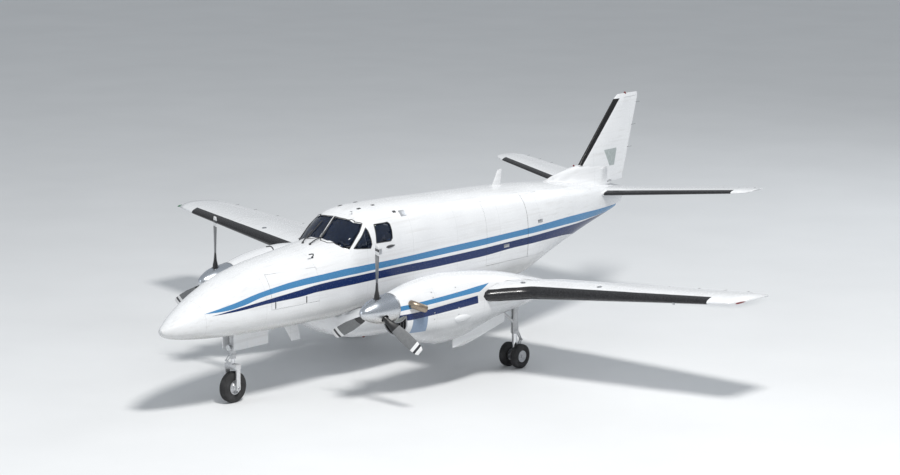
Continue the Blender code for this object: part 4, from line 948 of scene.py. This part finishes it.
for side, word in SIDES:
    lens = RED if side > 0 else GREEN
    piece("tip_lamp_" + word, teardrop(at(7.20, side * 6.955, 0.388), at(7.50, side * 6.985, 0.396), 0.020,
                                       0.026, (0, side, 0.2)), lens, "airframe")
    piece("tip_lamp_tail_" + word, teardrop(at(8.10, side * 6.95, 0.375), at(8.24, side * 6.95, 0.37), 0.016,
                                            0.016, (0, side, 0)), CLEAR, "airframe")
    spot = FUSELAGE_HULL.flank(3.30, 0.905, side)
    out = FUSELAGE_HULL.snap(spot)[2]
    mast = [spot - out * 0.01, spot + out * 0.06, spot + out * 0.085 + Vector((0.02, 0, 0)),
            spot + out * 0.095 + Vector((0.05, 0, 0)), spot + out * 0.097 + Vector((0.13, 0, 0))]
    piece("pitot_probe_" + word, joined([tube(mast, 0.011, 10), stud(0.024, 0.012, spot, out, 16)]),
          TRIM, "airframe")
    for place, (st, y) in (("fore", (4.80, 0.23)), ("mid", (5.20, 0.215)), ("aft", (5.47, 0.50))):
        spot = FUSELAGE_HULL.top(st, side * y)
        out = FUSELAGE_HULL.snap(spot)[2]
        piece(f"roof_vent_{place}_{word}", joined([
            block((0.085, 0.05, 0.010), spot, 0.004, facing(out, (0, 1, 0))),
            block((0.060, 0.026, 0.016), spot, 0.003, facing(out, (0, 1, 0)))]), TRIM, "airframe")
    spot = FUSELAGE_HULL.top(5.65, side * 0.545)
    piece("roof_panel_" + word, block((0.15, 0.13, 0.008), spot, 0.003,
                                      facing(FUSELAGE_HULL.snap(spot)[2], (0, 1, 0))),
          ALLOY, "airframe")
spot = FUSELAGE_HULL.flank(4.80, 0.83, 1)
piece("static_sensor", joined([block((0.12, 0.10, 0.006), spot, 0.0028, facing(FUSELAGE_HULL.snap(spot)[2])),
                               stud(0.022, 0.030, spot, FUSELAGE_HULL.snap(spot)[2], 20)]),
      ALLOY, "airframe")
piece("air_scoop", teardrop(FUSELAGE_HULL.flank(4.98, 0.885, 1, -0.004), FUSELAGE_HULL.flank(5.24, 0.895, 1, -0.004),
                            0.030, 0.035, (0, 1, 0)), TRIM, "airframe")
spot = FUSELAGE_HULL.top(4.545, 0.30)
piece("temperature_probe", tube([spot, spot + Vector((0, 0, 0.05)), spot + Vector((0.05, 0, 0.062))], 0.007),
      STEEL, "airframe")


def on_glass(y, wl):
    """The spot on the windshield's curve at a side distance and a water line."""
    low, high = 3.75, 4.75
    for _ in range(30):
        mid = (low + high) / 2
        if FUSELAGE_HULL.level(mid, y, wl)[0] > 1:
            low = mid
        else:
            high = mid
    return at(low, y, wl)


# Each wiper: where its spindle stands on the nose, where its arm meets the glass, its blade's top
for word, (foot_y, low_y, low_wl, top_y, top_wl) in (("left", (0.13, 0.045, 1.10, 0.045, 1.36)),
                                                     ("right", (-0.05, -0.28, 1.07, -0.19, 1.35))):
    foot = FUSELAGE_HULL.top(3.61, foot_y)
    low = on_glass(low_y, low_wl)
    top = on_glass(top_y, top_wl)
    rise = FUSELAGE_HULL.snap(low)[2]
    arm = [foot + Vector((0, 0, 0.022)), foot.lerp(low, 0.5) + Vector((0, 0, 0.035)), low + rise * 0.022,
           low.lerp(top, 0.4) + rise * 0.024]
    blade = [on_glass(low_y + (top_y - low_y) * t, low_wl + (top_wl - low_wl) * t) for t in
             (0.0, 0.25, 0.5, 0.75, 1.0)]
    piece("wiper_" + word, joined([
        tube(arm, 0.011, 8), stud(0.024, 0.05, foot, (0, 0, 1), 16),
        tube([p + FUSELAGE_HULL.snap(p)[2] * 0.010 for p in blade], 0.008, 8)]), TRIM, "airframe")

# Wing: fuel caps and stall vane, and static wicks on the moving surfaces
for side, word in SIDES:
    for k, y in enumerate((4.19, 2.75)):
        spot = Vector(WING_FOIL.place(y, np.array([0.85]), side)[0])
        out = WING_FOIL.snap(spot)[2]
        piece(f"fuel_cap_{word}_{k}", joined([
            revolved([(0, 0.004), (0.045, 0.004), (0.050, 0.0), (0.050, -0.01), (0, -0.01)], spot, out, 32),
            block((0.055, 0.012, 0.008), spot + out * 0.006, 0.003, facing(out))]), STEEL, "airframe")
spot = Vector(WING_FOIL.place(5.815, np.array([-0.22]), 1)[0])
piece("stall_vane", joined([block((0.006, 0.05, 0.035), spot + Vector((0.02, 0, -0.02)), 0.002),
                            block((0.05, 0.08, 0.006), spot, 0.002)]), STEEL, "airframe")


def wicks(name, body, starts, way):
    """Static wicks: a root clip, a thin rod and a frayed end."""
    way = Vector(way).normalized()
    parts = []
    for spot in starts:
        spot = Vector(spot)
        parts += [tube([spot - way * 0.035, spot + way * 0.01], 0.005, 6),
                  tube([spot, spot + way * 0.10], 0.0022, 6), tube([spot + way * 0.10, spot + way * 0.12],
                                                                  0.0035, 6)]
    piece(name, joined(parts), TRIM, body)


for side, word in SIDES:
    wicks("aileron_wicks_" + word, "aileron_" + word,
          [Vector(WING_FOIL.place(y, np.array([3.14]), side)[0]) for y in (4.6, 5.3, 5.9, 6.4)], (-1, 0, 0))
    wicks("elevator_wicks_" + word, "elevator_" + word,
          [Vector(TAIL_FOIL.place(y, np.array([3.14]), side)[0]) for y in (2.2, 2.55, 2.9)], (-1, 0, 0))
wicks("rudder_wicks", "rudder", [Vector(FIN_FOIL.place(w, np.array([3.14]), 1)[0])
                                 for w in (1.7, 2.15, 2.6)], (-1, 0, 0))

# Nacelles: inlet lips and ducts, exhaust pipes, scoops and latches
STUB = [(4.06, 0.10, 0.18), (3.98, 0.19, 0.20), (3.915, 0.28, 0.22), (3.90, 0.36, 0.22),
        (3.945, 0.42, 0.195), (4.015, 0.455, 0.165), (4.09, 0.475, 0.135)]
STUB_R = 0.07
COWL_R, LIP_ST = 0.275, 3.82


def chin_outline(hull, wall):
    """The chin inlet's mouth: an arc under the cowl ring, then back along the nacelle's lower skin."""
    low, high, half = hull.section(LIP_ST)[:3]
    mid = (low + high) / 2
    turns = [math.radians(25 + 130 * k / 24) for k in range(25)]
    arc = [((COWL_R + wall * 0.75) * math.cos(a), PROP_WL - (COWL_R + wall * 0.75) * math.sin(a)) for a in turns]
    lip = [((half - wall) * math.copysign(abs(math.cos(a)) ** 0.93, math.cos(a)),
            mid - (mid - low - wall) * math.sin(a) ** 0.93) for a in turns]
    return arc + lip[::-1]


for side, word in SIDES:
    yc = side * ENGINE_Y
    hull = Hull(NACELLE, yc)
    mouth = chin_outline(hull, 0.012)
    piece("inlet_lip_" + word, tube([at(LIP_ST + 0.004, yc + y, wl) for y, wl in mouth], 0.015, 10, True,
                                    up=Vector((1, 0, 0))), STEEL, "airframe")
    rings = [[at(st, yc + y, wl) for y, wl in chin_outline(hull, wall)]
             for st, wall in ((LIP_ST + 0.002, 0.027), (3.93, 0.030), (4.015, 0.034))]
    bm = lofted(rings, False)
    # The duct is closed at its back end and coloured near-black: painted shade for the inlet's depth.
    bmesh.ops.contextual_create(bm, geom=[e for e in bm.edges if len(e.link_faces) == 1
                                          and e.verts[0].co.x < NOSE_X - 4.0])
    duct_skin = piece("inlet_duct_" + word, bm, DARK, "airframe")
    wall = duct_skin.modifiers.new("wall", "SOLIDIFY")
    wall.thickness = 0.002
    grille = []
    for k in range(-3, 4):
        y = 0.065 * k
        top = PROP_WL - math.sqrt((COWL_R + 0.03) ** 2 - y * y)
        grille.append(tube([at(3.97, yc + y, top), at(3.97, yc + y, top - 0.155)], 0.004, 6,
                           up=Vector((1, 0, 0))))
    piece("inlet_grille_" + word, joined(grille), STEEL, "airframe")
    ring = [(0.236, 3.645), (0.262, 3.645), (0.268, 3.652), (0.268, 3.668), (0.236, 3.668)]
    piece("cowl_ring_" + word, revolved([(r, -st) for r, st in ring], Vector((NOSE_X, yc, NOSE_WL + PROP_WL)),
                                        (1, 0, 0), 64, True), STEEL, "airframe")
    out = side
    piece("oil_scoop_" + word, teardrop(hull.flank(4.92, -0.20, out, -0.01), hull.flank(5.42, -0.22, out, -0.01),
                                        0.085, 0.055, hull.snap(hull.flank(5.1, -0.2, out))[2]),
          NACELLE_PAINT, "airframe")
    parts = []
    for st in (4.42, 5.04):
        for wl in (0.36, 0.27, 0.0, -0.12, -0.30):
            for way in (1, -1):
                spot = hull.flank(st, wl, way)
                turn = facing(hull.snap(spot)[2])
                parts.append(block((0.030, 0.018, 0.004), spot, 0.0015, turn, 1))
    piece("cowl_latches_" + word, joined(parts), STEEL, "airframe")
    pipes, mouths = [revolved([(0.09, -4.158), (0.206, -4.158), (0.21, -4.15), (0.21, -3.97), (0.206, -3.962),
                               (0.09, -3.962)], Vector((NOSE_X, yc, NOSE_WL + PROP_WL)), (1, 0, 0), 48,
                              True)], []
    for way in (1, -1):
        path = smooth_path([at(st, yc + way * y, wl) for st, y, wl in STUB], 4)
        pipe, tip = pipe_with_mouth(path, STUB_R, 0.005, 0.11)
        pipes.append(pipe)
        # A near-black disc deep in each stack: soot, and painted shade for the pipe's depth.
        mouths.append(stud(STUB_R - 0.006, 0.002, path[-1] - tip * 0.10, tip, 24))
    piece("exhaust_pipes_" + word, joined(pipes), HEAT, "airframe", ("exhaust_" + word,), 50)
    piece("exhaust_throat_" + word, joined(mouths), DARK, "airframe")

# Landing gear
RUBBER_RIBS = [0.0, 0.30, 0.55]


def tyre(name, node, body, centre, rim_r, outer, width):
    """A ribbed tyre: round shoulders, and grooves right round the tread."""
    h, deep, cut = width / 2, 0.006, 0.0035
    tread = []
    for k in (-0.52, -0.18, 0.18, 0.52):
        s = k * h * 1.25
        crown = outer - 0.012 * (s / h) ** 2
        tread += [(crown, s - 2 * cut), (crown - deep, s - cut), (crown - deep, s + cut), (crown, s + 2 * cut)]
    wall = [(rim_r, 0.70), (rim_r + 0.012, 0.80), (rim_r + 0.35 * (outer - rim_r), 0.985),
            (rim_r + 0.55 * (outer - rim_r), 1.0), (rim_r + 0.75 * (outer - rim_r), 0.95),
            (outer - 0.017, 0.86), (outer - 0.008, 0.78)]
    outline = ([(r, -k * h) for r, k in wall] + tread + [(r, k * h) for r, k in reversed(wall)])
    piece(name, revolved(outline, centre, (0, 1, 0), 72, True), TYRE, body, (node,), 40)


def bolt_ring(centre, axis, radius, count, size, tall):
    axis = Vector(axis)
    side = axis.orthogonal().normalized()
    return [stud(size, tall, Vector(centre) + Matrix.Rotation(2 * math.pi * k / count, 3, axis) @ (side * radius),
                 axis) for k in range(count)]


def hub_face(name, body, centre, out, radius):
    """Rim flange, dished wheel disc, cap and bolts on one side of a wheel."""
    dish = [(radius + 0.008, 0.0), (radius + 0.008, 0.006), (radius - 0.006, 0.009), (radius - 0.014, -0.004),
            (radius * 0.62, -0.012), (radius * 0.50, 0.004), (radius * 0.36, 0.006), (radius * 0.34, 0.022),
            (radius * 0.22, 0.028), (0, 0.029)]
    piece(name, joined([revolved(dish, centre, out, 48)]
                       + bolt_ring(Vector(centre) - Vector(out) * 0.002, out, radius * 0.74, 8, 0.0065, 0.016)),
          ALLOY, body)


axle = at(NOSE_GEAR_ST, 0, 0.28 - NOSE_WL)
tyre("nose_tyre_ribbed", "nose_tyre", "nose_wheel", axle, 0.1255, 0.28, 0.165)
for way in (1, -1):
    hub_face(f"nose_wheel_face_{'left' if way > 0 else 'right'}", "nose_wheel",
             axle + Vector((0, way * 0.060, 0)), (0, way, 0), 0.122)
piece("nose_oleo", revolved([(0.0405, 0.425), (0.0405, 0.515)], axle, (0, 0, 1), 32), CHROME, "nose_fork")
piece("nose_scissors", joined([
    tube([axle + Vector((0.05, y, 0.41)), axle + Vector((0.155, y * 0.6, 0.50))], 0.010, 8)
    for y in (0.035, -0.035)] + [
    tube([axle + Vector((0.155, y * 0.6, 0.50)), axle + Vector((0.062, y, 0.585))], 0.010, 8)
    for y in (0.035, -0.035)] + [tube([axle + Vector((0.155, -0.035, 0.50)), axle + Vector((0.155, 0.035, 0.50))],
                                      0.012, 10),
                                 revolved([(0.060, 0.56), (0.068, 0.565), (0.068, 0.60), (0.060, 0.605)], axle,
                                          (0, 0, 1), 32)]), GEAR_PAINT, "nose_fork")
piece("nose_axle_nuts", joined([stud(0.020, 0.018, axle + Vector((0, y, 0)), (0, 1, 0)) for y in (0.157, -0.157)]),
      STEEL, "nose_wheel")
piece("taxi_lamp", joined([revolved([(0, -0.05), (0.04, -0.045), (0.062, -0.01), (0.066, 0.012), (0.060, 0.014)],
                                    axle + Vector((0.105, 0, 0.72)), (1, 0, -0.08), 32),
                           block((0.05, 0.03, 0.03), axle + Vector((0.065, 0, 0.72)), 0.005)]),
      STEEL, "airframe")
piece("taxi_lamp_lens", revolved([(0, 0.018), (0.045, 0.014), (0.061, 0.008), (0.061, 0.002), (0, 0.0)],
                                 axle + Vector((0.105, 0, 0.72)), (1, 0, -0.08), 32), CLEAR, "airframe")
for side, word in SIDES:
    yc = side * MAIN_GEAR_Y
    axle = at(MAIN_GEAR_ST, yc, 0.2285 - NOSE_WL)
    for place, off in (("outer", side * 0.135), ("inner", -side * 0.135)):
        centre = axle + Vector((0, off, 0))
        tyre(f"main_tyre_ribbed_{word}_{place}", f"main_tyre_{word}_{place}", "main_wheels_" + word, centre,
             0.1055, 0.2285, 0.14)
        out = 1 if off > 0 else -1
        hub_face(f"main_wheel_face_{word}_{place}", "main_wheels_" + word, centre + Vector((0, out * 0.054, 0)),
                 (0, out, 0), 0.103)
        piece(f"brake_disc_{word}_{place}", joined([
            revolved([(0.045, -out * 0.066), (0.085, -out * 0.066), (0.085, -out * 0.074),
                      (0.045, -out * 0.074)], centre, (0, 1, 0), 48, True)]), STEEL, "main_wheels_" + word)
    piece("main_oleo_" + word, revolved([(0.0505, 0.12), (0.0505, 0.415)], axle, (0, 0, 1), 40), CHROME,
          "airframe")
    links = []
    for y in (0.032, -0.032):
        links += [tube([axle + Vector((-0.045, y, 0.075)), axle + Vector((-0.19, y * 0.55, 0.27))], 0.012, 8),
                  tube([axle + Vector((-0.19, y * 0.55, 0.27)), axle + Vector((-0.062, y, 0.46))], 0.012, 8)]
    links += [tube([axle + Vector((-0.19, -0.04, 0.27)), axle + Vector((-0.19, 0.04, 0.27))], 0.014, 10),
              revolved([(0.066, 0.43), (0.076, 0.435), (0.076, 0.485), (0.066, 0.49)], axle, (0, 0, 1), 40),
              block((0.07, 0.05, 0.06), axle + Vector((-0.055, 0, 0.072)), 0.008)]
    piece("main_scissors_" + word, joined(links), GEAR_PAINT, "airframe")
    hose = [axle + Vector((0.055, 0.0, 0.05)), axle + Vector((0.085, 0.01, 0.16)),
            axle + Vector((0.078, 0.015, 0.30)), axle + Vector((0.085, 0.01, 0.44)),
            axle + Vector((0.078, 0.0, 0.62)), axle + Vector((0.078, 0.0, 0.95))]
    piece("brake_line_" + word, tube(hose, 0.005, 8), TRIM, "airframe")
    piece("brake_caliper_" + word, joined([block((0.075, 0.028, 0.055), axle + Vector((0.066, y, 0.010)), 0.006)
                                           for y in (0.062, -0.062)]), STEEL, "airframe")

# Cockpit: cushions, dials and coaming
DIAL = plastic("dial_face", (0.02, 0.02, 0.022), 0.35)


def cushion(name, centre, size, turn, channels=3):
    """A crowned pad whose sides pull in between its corners, with sewn channels."""
    bm = bmesh.new()
    bmesh.ops.create_cube(bm, size=2.0)
    bmesh.ops.subdivide_edges(bm, edges=bm.edges[:], cuts=23, use_grid_fill=True)
    for vert in bm.verts:
        u, v, w = vert.co
        edge = max(0.0, (1 - abs(u) ** 6) * (1 - abs(v) ** 6)) ** 0.25
        crown = 0.62 + 0.38 * (1 - u * u) * (1 - v * v)
        seam = sum(math.exp(-((v - (2 * k / channels - 1)) / 0.045) ** 2) for k in range(1, channels))
        puff = w * edge * (crown if w > 0 else 0.75) * (1 - 0.22 * seam * (w > 0))
        pull = 1 - 0.035 * (1 - min(1.0, abs(w)))
        vert.co = Vector((u * pull * (1 - 0.03 * (1 - v * v)), v * pull * (1 - 0.03 * (1 - u * u)), puff))
    place = Matrix.Translation(centre) @ turn @ Matrix.Diagonal((size[0] / 2, size[1] / 2, size[2] / 2, 1))
    bmesh.ops.transform(bm, matrix=place, verts=bm.verts)
    ob = piece(name, bm, SEAT_CLOTH, "airframe", (), 60)
    return ob


for side, word in SIDES:
    y = side * 0.36
    cushion("seat_pad_" + word, at(4.86, y, 0.572), (0.43, 0.41, 0.085), Matrix.Rotation(-0.045, 4, "Y"))
    lean = math.atan2(0.14, 0.64)
    cushion("seat_back_pad_" + word, at(5.125, y, 0.89), (0.60, 0.40, 0.085),
            Matrix.Rotation(-math.pi / 2 + lean, 4, "Y"))
    parts, faces = [], []
    for row, wl in enumerate((0.90, 0.78)):
        for k in range(4):
            spot = at(4.36 - (0.99 - wl) * 0.216, side * (0.16 + 0.125 * k), wl)
            parts.append(revolved([(0.040, 0.0), (0.050, 0.0), (0.050, 0.008), (0.040, 0.010)], spot, (-1, 0, 0.2),
                                  24, True))
            faces.append(revolved([(0, 0.003), (0.041, 0.003), (0.041, 0.0), (0, 0.0)], spot, (-1, 0, 0.2), 24))
    piece("dial_bezels_" + word, joined(parts), STEEL, "airframe")
    piece("dial_faces_" + word, joined(faces), DIAL, "airframe")
coaming = [[at(st, y, wl + 0.02 * math.cos(y * 2)) for st, wl in
            ((4.08, 0.985), (4.30, 1.035), (4.40, 1.02), (4.41, 0.995), (4.38, 0.985), (4.28, 0.99))]
           for y in (-0.62, -0.3, 0.0, 0.3, 0.62)]
piece("glare_coaming", lofted(coaming), TRIM, "airframe")

# Floor
floor_mesh = bmesh.new()
bmesh.ops.create_grid(floor_mesh, x_segments=4, y_segments=4, size=220)
mesh = bpy.data.meshes.new("floor")
floor_mesh.to_mesh(mesh)
floor_mesh.free()
floor = bpy.data.objects.new("floor", mesh)
scene.collection.objects.link(floor)
f = Finish("pale_floor", 0.55)
mesh.materials.append(f.done(f.mix(f.ramp(f.noise(0.4, 3), 0.3, 0.7), (0.80, 0.81, 0.82), (0.77, 0.78, 0.79))))
